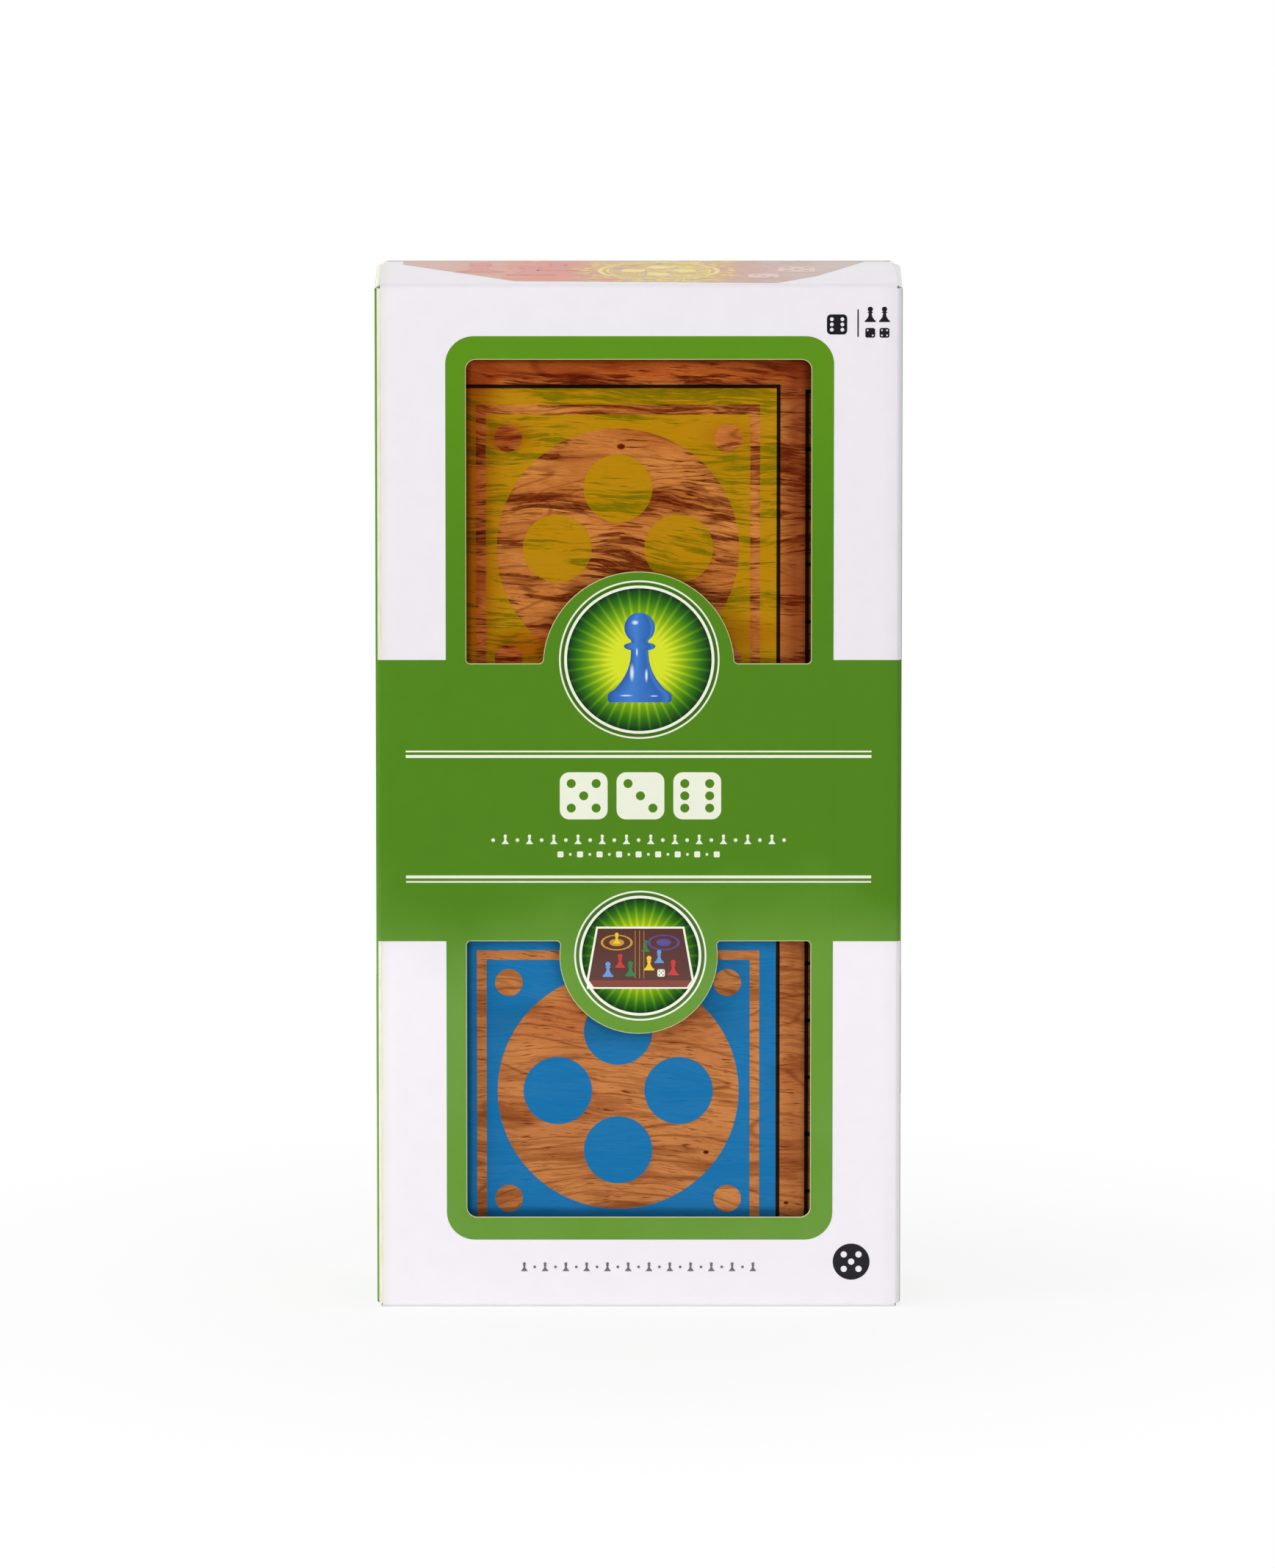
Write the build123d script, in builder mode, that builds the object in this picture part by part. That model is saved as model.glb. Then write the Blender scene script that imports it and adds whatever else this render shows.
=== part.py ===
"""A folding wooden ludo board, shut as a flat case, in its windowed folding carton.

Frame: X runs across the carton's front, Y from its front to its back, Z up. The origin is the
middle of the base that the carton stands on. Lengths are in millimetres.

The case is two shallow trays, hinged along their right side and hooked shut on their left. Their
outer faces carry the playing board, and the men and the die stand inside. The carton is one creased
sheet of paperboard: four walls, and at each end a tuck lid over two dust flaps.
"""
import os
from math import cos, radians, sin, tan

from build123d import *

# ---------------------------------------------------------------- playing case
board_side = 290.0  # the square board, unfolded
tray_depth = 22.5  # one tray, from its rim to its printed face
face_thickness = 3.0  # plywood face that carries the print
face_chamfer = 0.6
rail_thickness = 8.0
tongue_thickness = 6.4  # middle tongue of each corner joint of a tray
rim_gap = 0.2  # between the two rims when the case is shut
thumb_notch_radius = 9.0
thumb_notch_depth = 3.2

# ---------------------------------------------------------------- butt hinges, right side
hinge_inset = 56.0  # from each end of the case to the middle of a hinge
leaf_length = 24.0
leaf_width = 9.5
leaf_thickness = 0.8
knuckle_radius = 1.6
knuckle_count = 5
knuckle_gap = 0.1
pin_radius = 0.8
pin_clearance = 0.04
barrel_clearance = 0.25
screw_shank_radius = 0.9
screw_head_radius = 1.6
screw_length = 6.5
screw_clearance = 0.02
screw_pitch = 14.0  # between the two screws of a leaf

# ---------------------------------------------------------------- hook latch, left side
latch_height = 150.0  # above the bottom of the case
latch_pivot_reach = 11.0  # from the rims to the pivot, on the rear tray
latch_stud_reach = 9.5  # from the rims to the stud, on the front tray
latch_plate = 1.0  # thickness of the hook and of the two rose plates
latch_gap = 0.15
latch_arm_width = 5.0
latch_eye_radius = 3.6
latch_neck_radius = 1.5
latch_neck_clearance = 0.08
latch_head_radius = 2.8
latch_head_thickness = 1.0
latch_rose_radius = 4.0
latch_tail_length = 6.0  # finger tab beyond the stud
latch_screw_depth = 6.0

# ---------------------------------------------------------------- men and die
man_height = 22.0
man_foot_radius = 6.6
man_foot_height = 2.4
man_neck_radius = 2.2
man_head_radius = 3.2
men_per_colour = 4
die_size = 11.0
die_edge_radius = 1.4
pip_radius = 1.0
pip_depth = 0.45
pip_spacing = 2.9

# ---------------------------------------------------------------- carton
paper = 0.6  # thickness of the paperboard
face_gap = 2.9  # from the printed faces to the front and back walls
hinge_side_gap = 1.9
latch_side_gap = 7.9
headroom = 15.0  # free height over the case
layer_gap = 0.15  # between lid and dust flap, and between dust flap and case
corner_radius = 1.6  # outside of the four upright creases
crease_radius = 1.2  # outside of the creases at lids and dust flaps
glue_flap_width = 14.0
glue_flap_bevel = 9.0
back_relief_width = 3.0  # cut-away corners of the back wall, clear of the dust flaps
back_relief_height = 2.4

window_side_margin = 26.9
window_top_margin = 22.4
window_bottom_margin = 27.4
window_radius = 3.0
window_band_radius = 1.2  # of the window corners along the band
band_bottom = 111.0  # bottom edge of the band between the windows
band_height = 83.6
upper_bay_radius = 28.4  # the band's round bays that reach into the windows
upper_bay_sink = 0.8
lower_bay_radius = 23.5
lower_bay_sink = 4.5

lid_side_gap = 1.2  # from the lid's sides to the outside of the side walls
lid_taper = 1.1  # how much further in each side is at the tuck edge
back_gap = 0.3  # from the tuck tab's crease to the back wall
tuck_radius = 1.0
tuck_length = 12.0
tuck_lean = 7.0  # degrees that the tab leans in, so that it clears the back wall
tuck_shoulder = 3.5
tuck_corner_radius = 8.0
flap_length = 46.0
flap_front_setback = 2.5
flap_front_taper = 30.0  # degrees; leaves the lid room as the flap rises with it
flap_back_setback = 2.4
flap_back_radius = 10.0
flap_front_radius = 5.0

# ---------------------------------------------------------------- worked out from the above
tray_width = board_side / 2
end_stack = 2 * (paper + layer_gap)
carton_width = tray_width + hinge_side_gap + latch_side_gap + 2 * paper
carton_depth = 2 * (tray_depth + face_gap + paper)
carton_height = board_side + headroom + 2 * end_stack

left, right = -carton_width / 2, carton_width / 2
front, back = -carton_depth / 2, carton_depth / 2
top = carton_height
middle = Plane.XY.offset(carton_height / 2)

case_left = left + paper + latch_side_gap
case_right = case_left + tray_width
case_bottom = end_stack
case_top = case_bottom + board_side
case_middle_x = (case_left + case_right) / 2
rail_inner = tray_depth - face_thickness  # where a rail meets the printed face

band_top = band_bottom + band_height
flap_outside = top - paper - layer_gap  # top face of the upper dust flaps

os.makedirs("parts", exist_ok=True)


def export(built, name):
    """Labels a finished piece and writes its STEP file."""
    built.part.label = name
    export_step(built.part, f"parts/{name}.step")


# ================================================================ carton walls
def wall_plane(x, y, across, z=0.0):
    """A plan plane on a wall's outside: local X along the wall, local Y into the carton."""
    return Plane(origin=(x, y, z), x_dir=across, z_dir=(0, 0, 1))


def wall_outline(half_width, start_bend=True, end_bend=True):
    """Plan outline of a wall whose outside is local Y = 0, with half of each upright crease."""
    inner = corner_radius - paper
    start = -half_width + (corner_radius if start_bend else 0)
    end = half_width - (corner_radius if end_bend else 0)
    with BuildSketch() as outline:
        with BuildLine():
            Line((start, 0), (end, 0))
            if end_bend:
                outer_arc = CenterArc((end, corner_radius), corner_radius, -90, 45)
                inner_arc = CenterArc((end, corner_radius), inner, -90, 45)
                Line(outer_arc @ 1, inner_arc @ 1)
            else:
                Line((end, 0), (end, paper))
            Line((end, paper), (start, paper))
            if start_bend:
                outer_arc = CenterArc((start, corner_radius), corner_radius, -135, 45)
                inner_arc = CenterArc((start, corner_radius), inner, -135, 45)
                Line(outer_arc @ 0, inner_arc @ 0)
            else:
                Line((start, paper), (start, 0))
        make_face()
    return outline.sketch


def half_crease(corner, start_angle):
    """Section of half a crease: an eighth of a ring round the crease's centre."""
    outer = CenterArc(corner, crease_radius, start_angle, 45)
    inner = CenterArc(corner, crease_radius - paper, start_angle, 45)
    Line(outer @ 0, inner @ 0)
    Line(outer @ 1, inner @ 1)


def window(bottom, height, bay_height, bay_radius, away, along):
    """Cuts one window, less the bay; away and along pick its corners off the band and on it."""
    with BuildSketch(Plane.XZ.offset(-front + 1)) as opening:
        with Locations((0, bottom + height / 2)):
            Rectangle(carton_width - 2 * window_side_margin, height)
        fillet(opening.vertices().group_by(Axis.Y)[away], window_radius)
        with Locations((0, bay_height)):
            Circle(bay_radius, mode=Mode.SUBTRACT)
        fillet(opening.vertices().group_by(Axis.Y)[along], window_band_radius)
    extrude(opening.sketch, amount=-(paper + 2), mode=Mode.SUBTRACT)


wall_low, wall_high = crease_radius, top - crease_radius
with BuildPart() as carton_front:
    with BuildSketch(wall_plane(0, front, (1, 0, 0), wall_low)):
        add(wall_outline(carton_width / 2))
    extrude(amount=wall_high - wall_low)
    strip_half = carton_width / 2 - corner_radius
    for height, angle in ((wall_high, 135), (wall_low, 180)):
        with BuildSketch(Plane.YZ.offset(-strip_half)):
            with BuildLine():
                half_crease((front + crease_radius, height), angle)
            make_face()
        extrude(amount=2 * strip_half)
    upper_bay, lower_bay = band_top - upper_bay_sink, band_bottom - lower_bay_sink
    window(band_top, top - window_top_margin - band_top, upper_bay, upper_bay_radius, -1, 0)
    lower_height = band_bottom - window_bottom_margin
    window(window_bottom_margin, lower_height, lower_bay, lower_bay_radius, 0, -1)
export(carton_front, "carton_front")

side_high = flap_outside - crease_radius
side_low = top - side_high


def side_creases(edge, inward):
    """Half creases along the top and bottom of a side wall."""
    half = carton_depth / 2 - corner_radius
    for height, up in ((side_high, True), (side_low, False)):
        if inward > 0:
            angle = 135 if up else 180
        else:
            angle = 0 if up else -45
        with BuildSketch(Plane(origin=(0, -half, 0), x_dir=(1, 0, 0), z_dir=(0, -1, 0))) as crease:
            with BuildLine():
                half_crease((edge + inward * crease_radius, height), angle)
            make_face()
        extrude(crease.sketch, amount=-2 * half)


with BuildPart() as carton_left:
    with BuildSketch(wall_plane(left, 0, (0, -1, 0), side_low)):
        add(wall_outline(carton_depth / 2, start_bend=False))
    extrude(amount=side_high - side_low)
    side_creases(left, 1)
export(carton_left, "carton_left")

with BuildPart() as carton_right:
    with BuildSketch(wall_plane(right, 0, (0, 1, 0), side_low)):
        add(wall_outline(carton_depth / 2))
    extrude(amount=side_high - side_low)
    side_creases(right, -1)
export(carton_right, "carton_right")

# The back wall bends into the glue flap, which lies inside the left wall.
with BuildPart() as carton_back:
    glue_face = left + paper
    bend_centre = (glue_face + crease_radius, back - crease_radius)
    with BuildSketch(Plane.XY):
        with BuildLine():
            corner = (right - corner_radius, back - corner_radius)
            outer_arc = CenterArc(corner, corner_radius, 45, 45)
            inner_arc = CenterArc(corner, corner_radius - paper, 45, 45)
            Line(outer_arc @ 0, inner_arc @ 0)
            outer_bend = CenterArc(bend_centre, crease_radius, 90, 90)
            inner_bend = CenterArc(bend_centre, crease_radius - paper, 90, 90)
            Line(outer_arc @ 1, outer_bend @ 0)
            Line(inner_arc @ 1, inner_bend @ 0)
            flap_end = back - glue_flap_width
            Polyline(outer_bend @ 1, (glue_face, flap_end), (glue_face + paper, flap_end), inner_bend @ 1)
        make_face()
    extrude(amount=top)
    bevel_start = side_low + layer_gap  # clears the side wall's crease
    for end, way in ((0.0, 1), (top, -1)):
        with BuildSketch(Plane.YZ.offset(glue_face - 0.01)):
            with BuildLine():
                Polyline(
                    (back - crease_radius, end + way * bevel_start),
                    (back - glue_flap_width - 1, end + way * (bevel_start + glue_flap_bevel)),
                    (back - glue_flap_width - 1, end - way),
                    (back - crease_radius, end - way),
                    close=True,
                )
            make_face()
        extrude(amount=paper + 0.02, mode=Mode.SUBTRACT)
        # cut-away corners
        for edge, inward in ((left, 1), (right, -1)):
            with BuildSketch(Plane.XZ.offset(-back - 1)) as relief:
                with BuildLine():
                    Polyline(
                        (edge + inward * back_relief_width, end),
                        (edge + inward * back_relief_width, end - way),
                        (edge - inward, end - way),
                        (edge - inward, end + way * back_relief_height),
                        (edge, end + way * back_relief_height),
                        close=True,
                    )
                make_face()
            extrude(relief.sketch, amount=corner_radius + 1.2, mode=Mode.SUBTRACT)
export(carton_back, "carton_back")

# ================================================================ carton ends
tuck_edge = back - paper - back_gap  # outside of the tuck crease
lid_front_half = carton_width / 2 - lid_side_gap
lid_back_half = lid_front_half - lid_taper
tuck_half = lid_back_half - tuck_shoulder

with BuildPart() as top_lid:
    with BuildSketch(Plane.YZ.offset(-lid_front_half)):
        with BuildLine():
            crease_centre = (front + crease_radius, top - crease_radius)
            outer_arc = CenterArc(crease_centre, crease_radius, 90, 45)
            inner_arc = CenterArc(crease_centre, crease_radius - paper, 90, 45)
            Line(outer_arc @ 1, inner_arc @ 1)
            Line(outer_arc @ 0, (tuck_edge - tuck_radius, top))
            Line((tuck_edge - tuck_radius, top), (tuck_edge - tuck_radius, top - paper))
            Line((tuck_edge - tuck_radius, top - paper), inner_arc @ 0)
        make_face()
    extrude(amount=2 * lid_front_half)
    with BuildSketch(Plane.XY.offset(top - crease_radius - 1)):
        with BuildLine():
            Polyline(
                (-lid_front_half, front),
                (lid_front_half, front),
                (lid_back_half, tuck_edge),
                (-lid_back_half, tuck_edge),
                close=True,
            )
        make_face()
    extrude(amount=crease_radius + 2, mode=Mode.INTERSECT)
    # the tuck crease and the tab that leans in from it
    with BuildSketch(Plane.YZ.offset(-tuck_half)):
        with BuildLine():
            tuck_centre = (tuck_edge - tuck_radius, top - tuck_radius)
            outer_bend = CenterArc(tuck_centre, tuck_radius, -tuck_lean, 90 + tuck_lean)
            inner_bend = CenterArc(tuck_centre, tuck_radius - paper, -tuck_lean, 90 + tuck_lean)
            down = Vector(-sin(radians(tuck_lean)), -cos(radians(tuck_lean))) * tuck_length
            Line(outer_bend @ 1, inner_bend @ 1)
            Line(outer_bend @ 0, (outer_bend @ 0) + down)
            Line(inner_bend @ 0, (inner_bend @ 0) + down)
            Line((outer_bend @ 0) + down, (inner_bend @ 0) + down)
        make_face()
    extrude(amount=2 * tuck_half)
    tab_corners = top_lid.edges().filter_by(
        lambda e: e.center().Z < top - tuck_length / 2
        and abs(abs(e.center().X) - tuck_half) < 0.01
        and e.length < 1.5 * paper
    )
    fillet(tab_corners, tuck_corner_radius)
export(top_lid, "top_lid")

with BuildPart() as top_flap_left:
    flap_start = left + crease_radius
    with BuildSketch(Plane(origin=(0, front + flap_front_setback, 0), x_dir=(1, 0, 0), z_dir=(0, -1, 0))):
        with BuildLine():
            half_crease((flap_start, flap_outside - crease_radius), 90)
        make_face()
    extrude(amount=-(carton_depth - flap_front_setback - flap_back_setback))
    with BuildSketch(Plane.XY.offset(flap_outside - paper)) as flap_plan:
        flap_tip = left + flap_length
        flap_front = front + flap_front_setback
        flap_back = back - flap_back_setback
        taper = (flap_tip - flap_start) * tan(radians(flap_front_taper))
        with BuildLine():
            Polyline(
                (flap_start, flap_front),
                (flap_tip, flap_front + taper),
                (flap_tip, flap_back),
                (flap_start, flap_back),
                close=True,
            )
        make_face()
        fillet(flap_plan.vertices().group_by(Axis.X)[-1].sort_by(Axis.Y)[-1], flap_back_radius)
        fillet(flap_plan.vertices().group_by(Axis.X)[-1].sort_by(Axis.Y)[0], flap_front_radius)
    extrude(amount=paper)
export(top_flap_left, "top_flap_left")

with BuildPart() as top_flap_right:
    add(mirror(top_flap_left.part, about=Plane.YZ, mode=Mode.PRIVATE))
export(top_flap_right, "top_flap_right")

for piece, name in (
    (top_lid, "bottom_lid"),
    (top_flap_left, "bottom_flap_left"),
    (top_flap_right, "bottom_flap_right"),
):
    with BuildPart() as lower:
        add(mirror(piece.part, about=middle, mode=Mode.PRIVATE))
    export(lower, name)


# ================================================================ the two trays
def screw_places():
    """Heights of the screws in one column of hinge leaves."""
    for hinge in hinge_heights:
        yield from (hinge - screw_pitch / 2, hinge + screw_pitch / 2)


hinge_heights = (case_bottom + hinge_inset, case_top - hinge_inset)
leaf_screw_reach = (knuckle_radius + leaf_width) / 2
latch_z = case_bottom + latch_height


def box_between(low, high, mode=Mode.ADD):
    """A box given by its lowest and highest corners."""
    centre = tuple((a + b) / 2 for a, b in zip(low, high))
    with Locations(centre):
        Box(*(b - a for a, b in zip(low, high)), mode=mode)


def cylinder_along_x(x0, x1, y, z, radius, mode=Mode.ADD):
    """A cylinder whose axis runs along X from x0 to x1."""
    with Locations(Location(((x0 + x1) / 2, y, z), (0, 90, 0))):
        Cylinder(radius, abs(x1 - x0), mode=mode)


for side, name in ((-1, "front"), (1, "rear")):
    rim, floor = side * rim_gap / 2, side * rail_inner
    low_y, high_y = min(rim, floor), max(rim, floor)
    tongue_low = (low_y + high_y - tongue_thickness) / 2
    tongue_high = tongue_low + tongue_thickness

    with BuildPart() as face:
        low = min(side * tray_depth, floor)
        box_between((case_left, low, case_bottom), (case_right, low + face_thickness, case_top))
        outside = face.faces().sort_by(Axis.Y)[-1 if side > 0 else 0]
        chamfer(outside.edges(), face_chamfer)
    export(face, f"{name}_board")

    for rail_name, x0 in (("left", case_left), ("right", case_right - rail_thickness)):
        x1 = x0 + rail_thickness
        with BuildPart() as rail:
            box_between((x0, low_y, case_bottom), (x1, high_y, case_top))
            for z0 in (case_bottom, case_top - rail_thickness):
                tongue_end = (x1, tongue_high, z0 + rail_thickness)
                box_between((x0, tongue_low, z0), tongue_end, Mode.SUBTRACT)
            if rail_name == "right":
                for z in hinge_heights:
                    box_between(
                        (x1 - leaf_thickness, min(rim, side * leaf_width), z - leaf_length / 2),
                        (x1, max(rim, side * leaf_width), z + leaf_length / 2),
                        Mode.SUBTRACT,
                    )
                    with Locations((case_right, 0, z)):
                        Cylinder(knuckle_radius + barrel_clearance, leaf_length, mode=Mode.SUBTRACT)
                for z in screw_places():
                    cylinder_along_x(
                        x1 - screw_length, x1, side * leaf_screw_reach, z,
                        screw_shank_radius + screw_clearance, Mode.SUBTRACT,
                    )
            else:
                reach = latch_pivot_reach if side > 0 else -latch_stud_reach
                cylinder_along_x(
                    x0, x0 + latch_screw_depth, reach, latch_z,
                    latch_neck_radius + screw_clearance, Mode.SUBTRACT,
                )
                if side < 0:  # thumb notch in the rim, clear of the latch
                    notch_y = rim + thumb_notch_radius - thumb_notch_depth
                    cylinder_along_x(
                        x0 - 1, x0 + thumb_notch_depth, notch_y, case_bottom + board_side / 4,
                        thumb_notch_radius, Mode.SUBTRACT,
                    )
        export(rail, f"{name}_rail_{rail_name}")

    for rail_name, z0 in (("bottom", case_bottom), ("top", case_top - rail_thickness)):
        z1 = z0 + rail_thickness
        with BuildPart() as rail:
            box_between(
                (case_left + rail_thickness, low_y, z0), (case_right - rail_thickness, high_y, z1)
            )
            box_between((case_left, tongue_low, z0), (case_right, tongue_high, z1))
        export(rail, f"{name}_rail_{rail_name}")

# ================================================================ hinges
knuckle = leaf_length / knuckle_count
for side, name in ((-1, "front"), (1, "rear")):
    own = [k for k in range(knuckle_count) if (k % 2 == 0) == (side > 0)]
    with BuildPart() as leaves:
        for z in hinge_heights:
            foot = z - leaf_length / 2
            clear = side * (knuckle_radius + barrel_clearance)
            plate_y = sorted((clear, side * leaf_width))
            box_between(
                (case_right - leaf_thickness, plate_y[0], foot),
                (case_right, plate_y[1], foot + leaf_length),
            )
            for k in own:
                low_z = foot + k * knuckle + (knuckle_gap / 2 if k else 0)
                high_z = foot + (k + 1) * knuckle - (knuckle_gap / 2 if k < knuckle_count - 1 else 0)
                neck_y = sorted((0.0, clear))
                box_between((case_right - leaf_thickness, neck_y[0], low_z), (case_right, neck_y[1], high_z))
                with Locations((case_right, 0, (low_z + high_z) / 2)):
                    Cylinder(knuckle_radius, high_z - low_z)
            with Locations((case_right, 0, z)):
                Cylinder(pin_radius + pin_clearance, leaf_length + 1, mode=Mode.SUBTRACT)
        for z in screw_places():
            head = Location((case_right - leaf_thickness / 2, side * leaf_screw_reach, z), (0, 90, 0))
            with Locations(head):
                Cone(
                    screw_shank_radius + screw_clearance,
                    screw_head_radius + screw_clearance,
                    leaf_thickness,
                    mode=Mode.SUBTRACT,
                )
    export(leaves, f"hinge_leaves_{name}")

with BuildPart() as pins:
    for z in hinge_heights:
        with Locations((case_right, 0, z)):
            Cylinder(pin_radius, leaf_length)
export(pins, "hinge_pins")

with BuildPart() as screws:
    for side in (-1, 1):
        for z in screw_places():
            y = side * leaf_screw_reach
            with Locations(Location((case_right - leaf_thickness / 2, y, z), (0, 90, 0))):
                Cone(screw_shank_radius, screw_head_radius, leaf_thickness)
            x0, x1 = case_right - screw_length, case_right - leaf_thickness
            cylinder_along_x(x0, x1, y, z, screw_shank_radius)
export(screws, "hinge_screws")

# ================================================================ latch
rose_face = case_left - latch_plate
hook_face = rose_face - latch_gap
head_face = hook_face - latch_plate - latch_gap
swing_radius = latch_pivot_reach + latch_stud_reach

for name, y in (("latch_pivot", latch_pivot_reach), ("latch_stud", -latch_stud_reach)):
    with BuildPart() as post:
        cylinder_along_x(case_left, rose_face, y, latch_z, latch_rose_radius)
        cylinder_along_x(case_left + latch_screw_depth, head_face, y, latch_z, latch_neck_radius)
        cylinder_along_x(head_face, head_face - latch_head_thickness, y, latch_z, latch_head_radius)
        fillet(post.edges().group_by(Axis.X)[0], latch_head_thickness * 0.6)
    export(post, name)

with BuildPart() as latch_hook:
    # drawn with the pivot at the origin, local X towards the stud and local Y up
    pivot = (hook_face, latch_pivot_reach, latch_z)
    with BuildSketch(Plane(origin=pivot, x_dir=(0, -1, 0), z_dir=(-1, 0, 0))):
        Circle(latch_eye_radius)
        with Locations((swing_radius / 2, 0)):
            Rectangle(swing_radius, latch_arm_width)
        with Locations((swing_radius, 0)):
            Circle(latch_head_radius + 1)
        with Locations((swing_radius + latch_tail_length / 2, latch_arm_width / 4)):
            RectangleRounded(latch_tail_length + 2 * latch_head_radius, latch_arm_width / 2 + 1, 1)
        Circle(latch_neck_radius + latch_neck_clearance, mode=Mode.SUBTRACT)
        slot = latch_neck_radius + latch_neck_clearance
        with BuildLine():
            outer = CenterArc((0, 0), swing_radius + slot, -30, 30)
            inner = CenterArc((0, 0), swing_radius - slot, -30, 30)
            Line(outer @ 0, inner @ 0)
            ThreePointArc(outer @ 1, (swing_radius, slot), inner @ 1)
        make_face(mode=Mode.SUBTRACT)
    extrude(amount=latch_plate)
export(latch_hook, "latch_hook")


# ================================================================ men and die
def turned_man():
    """A turned man: wide foot, hollow flare, straight neck and ball head, about its own axis."""
    head_centre = man_height - man_head_radius
    with BuildPart() as man:
        with BuildSketch(Plane.XZ):
            with BuildLine():
                neck_top = (man_neck_radius, head_centre - (man_head_radius**2 - man_neck_radius**2) ** 0.5)
                foot_edge = 0.6
                Line((0, 0), (man_foot_radius - foot_edge, 0))
                RadiusArc((man_foot_radius - foot_edge, 0), (man_foot_radius, foot_edge), -foot_edge)
                Line((man_foot_radius, foot_edge), (man_foot_radius, man_foot_height))
                flare = Spline(
                    (man_foot_radius, man_foot_height),
                    (man_neck_radius, man_height * 0.52),
                    tangents=((-1, 0.45), (0, 1)),
                )
                Line(flare @ 1, neck_top)
                ThreePointArc(neck_top, (man_head_radius, head_centre), (0, man_height))
                Line((0, man_height), (0, 0))
            make_face()
        revolve(axis=Axis.Z)
    return man.part


# Two rows stand on the bottom rails, spread evenly between the side rails; the die ends the front row.
row_length = tray_width - 2 * rail_thickness
row_count = 2 * men_per_colour
man_gap = (row_length - row_count * 2 * man_foot_radius - die_size) / (row_count + 2)
man_pitch = 2 * man_foot_radius + man_gap
floor_z = case_bottom + rail_thickness
row_start = case_left + rail_thickness + man_gap + man_foot_radius
row_y = rail_inner / 2
man = turned_man()
colours = ("red", "yellow", "green", "blue")
for index, colour in enumerate(colours):
    y = row_y if index % 2 else -row_y
    first = (index // 2) * men_per_colour
    with BuildPart() as men:
        places = [(row_start + (first + n) * man_pitch, y, floor_z) for n in range(men_per_colour)]
        with Locations(*places):
            add(man)
    export(men, f"men_{colour}")

PIPS = {
    1: [(0, 0)],
    2: [(-1, -1), (1, 1)],
    3: [(-1, -1), (0, 0), (1, 1)],
    4: [(-1, -1), (-1, 1), (1, -1), (1, 1)],
    5: [(-1, -1), (-1, 1), (0, 0), (1, -1), (1, 1)],
    6: [(-1, -1), (-1, 0), (-1, 1), (1, -1), (1, 0), (1, 1)],
}
die_centre = (
    case_right - rail_thickness - man_gap - die_size / 2,
    -row_y,
    floor_z + die_size / 2,
)
with BuildPart() as die:
    with Locations(die_centre):
        Box(die_size, die_size, die_size)
    fillet(die.edges(), die_edge_radius)
    sides = ((0, 0, 1), (0, 0, -1), (0, 1, 0), (0, -1, 0), (1, 0, 0), (-1, 0, 0))
    for number, normal in zip((1, 6, 2, 5, 3, 4), sides):
        centre = Vector(*die_centre) + Vector(*normal) * (die_size / 2)
        with BuildSketch(Plane(origin=centre, z_dir=normal)):
            with Locations(*[(u * pip_spacing, v * pip_spacing) for u, v in PIPS[number]]):
                Circle(pip_radius)
        extrude(amount=-pip_depth, mode=Mode.SUBTRACT)
export(die, "die")
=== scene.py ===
"""Dresses a folding ludo board, shut as a case in its windowed carton, and sets up its stage."""

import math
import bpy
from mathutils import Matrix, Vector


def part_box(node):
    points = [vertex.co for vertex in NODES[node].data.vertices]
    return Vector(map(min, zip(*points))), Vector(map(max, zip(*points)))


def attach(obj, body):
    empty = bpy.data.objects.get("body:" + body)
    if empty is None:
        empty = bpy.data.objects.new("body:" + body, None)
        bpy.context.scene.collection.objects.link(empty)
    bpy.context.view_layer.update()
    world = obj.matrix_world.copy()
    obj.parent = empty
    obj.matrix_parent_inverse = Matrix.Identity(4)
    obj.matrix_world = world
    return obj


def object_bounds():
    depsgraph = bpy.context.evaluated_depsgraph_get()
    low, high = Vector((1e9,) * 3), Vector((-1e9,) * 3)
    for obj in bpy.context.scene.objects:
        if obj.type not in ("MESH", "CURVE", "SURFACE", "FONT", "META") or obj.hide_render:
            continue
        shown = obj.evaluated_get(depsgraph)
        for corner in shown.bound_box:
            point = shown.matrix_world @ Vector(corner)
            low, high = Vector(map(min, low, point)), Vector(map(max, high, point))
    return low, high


bl_info = {
    "name": "Folding ludo board in its carton",
    "version": (1, 0, 0),
    "blender": (4, 5, 0),
    "location": "3D View > Sidebar > Ludo",
    "description": "Prints the carton and the board, finishes wood and fittings, and sets the stage",
    "category": "Object",
}

import bpy
from bpy.props import FloatProperty, FloatVectorProperty, PointerProperty
from mathutils import Vector
from mathutils.geometry import delaunay_2d_cdt

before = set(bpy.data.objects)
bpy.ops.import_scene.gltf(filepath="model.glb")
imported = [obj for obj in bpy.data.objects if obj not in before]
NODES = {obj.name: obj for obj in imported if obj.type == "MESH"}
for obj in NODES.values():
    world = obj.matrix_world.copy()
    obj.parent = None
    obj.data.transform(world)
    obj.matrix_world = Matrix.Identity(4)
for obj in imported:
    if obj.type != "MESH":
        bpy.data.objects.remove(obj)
CAD_BOX = [list(corner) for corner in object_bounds()]
MM = 0.001

CARTON_WALLS = ("carton_front", "carton_back", "carton_left", "carton_right")
CARTON_ENDS = (
    "top_lid", "bottom_lid",
    "top_flap_left", "top_flap_right", "bottom_flap_left", "bottom_flap_right",
)


def linear(code):
    """An sRGB hex colour as linear red, green and blue."""
    parts = [int(code[i:i + 2], 16) / 255 for i in (1, 3, 5)]
    return [p / 12.92 if p <= 0.04045 else ((p + 0.055) / 1.055) ** 2.4 for p in parts]


def node_box(name):
    """Lowest and highest corner of a CAD node, in millimetres."""
    low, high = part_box(name)
    return [c / MM for c in low], [c / MM for c in high]


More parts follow.
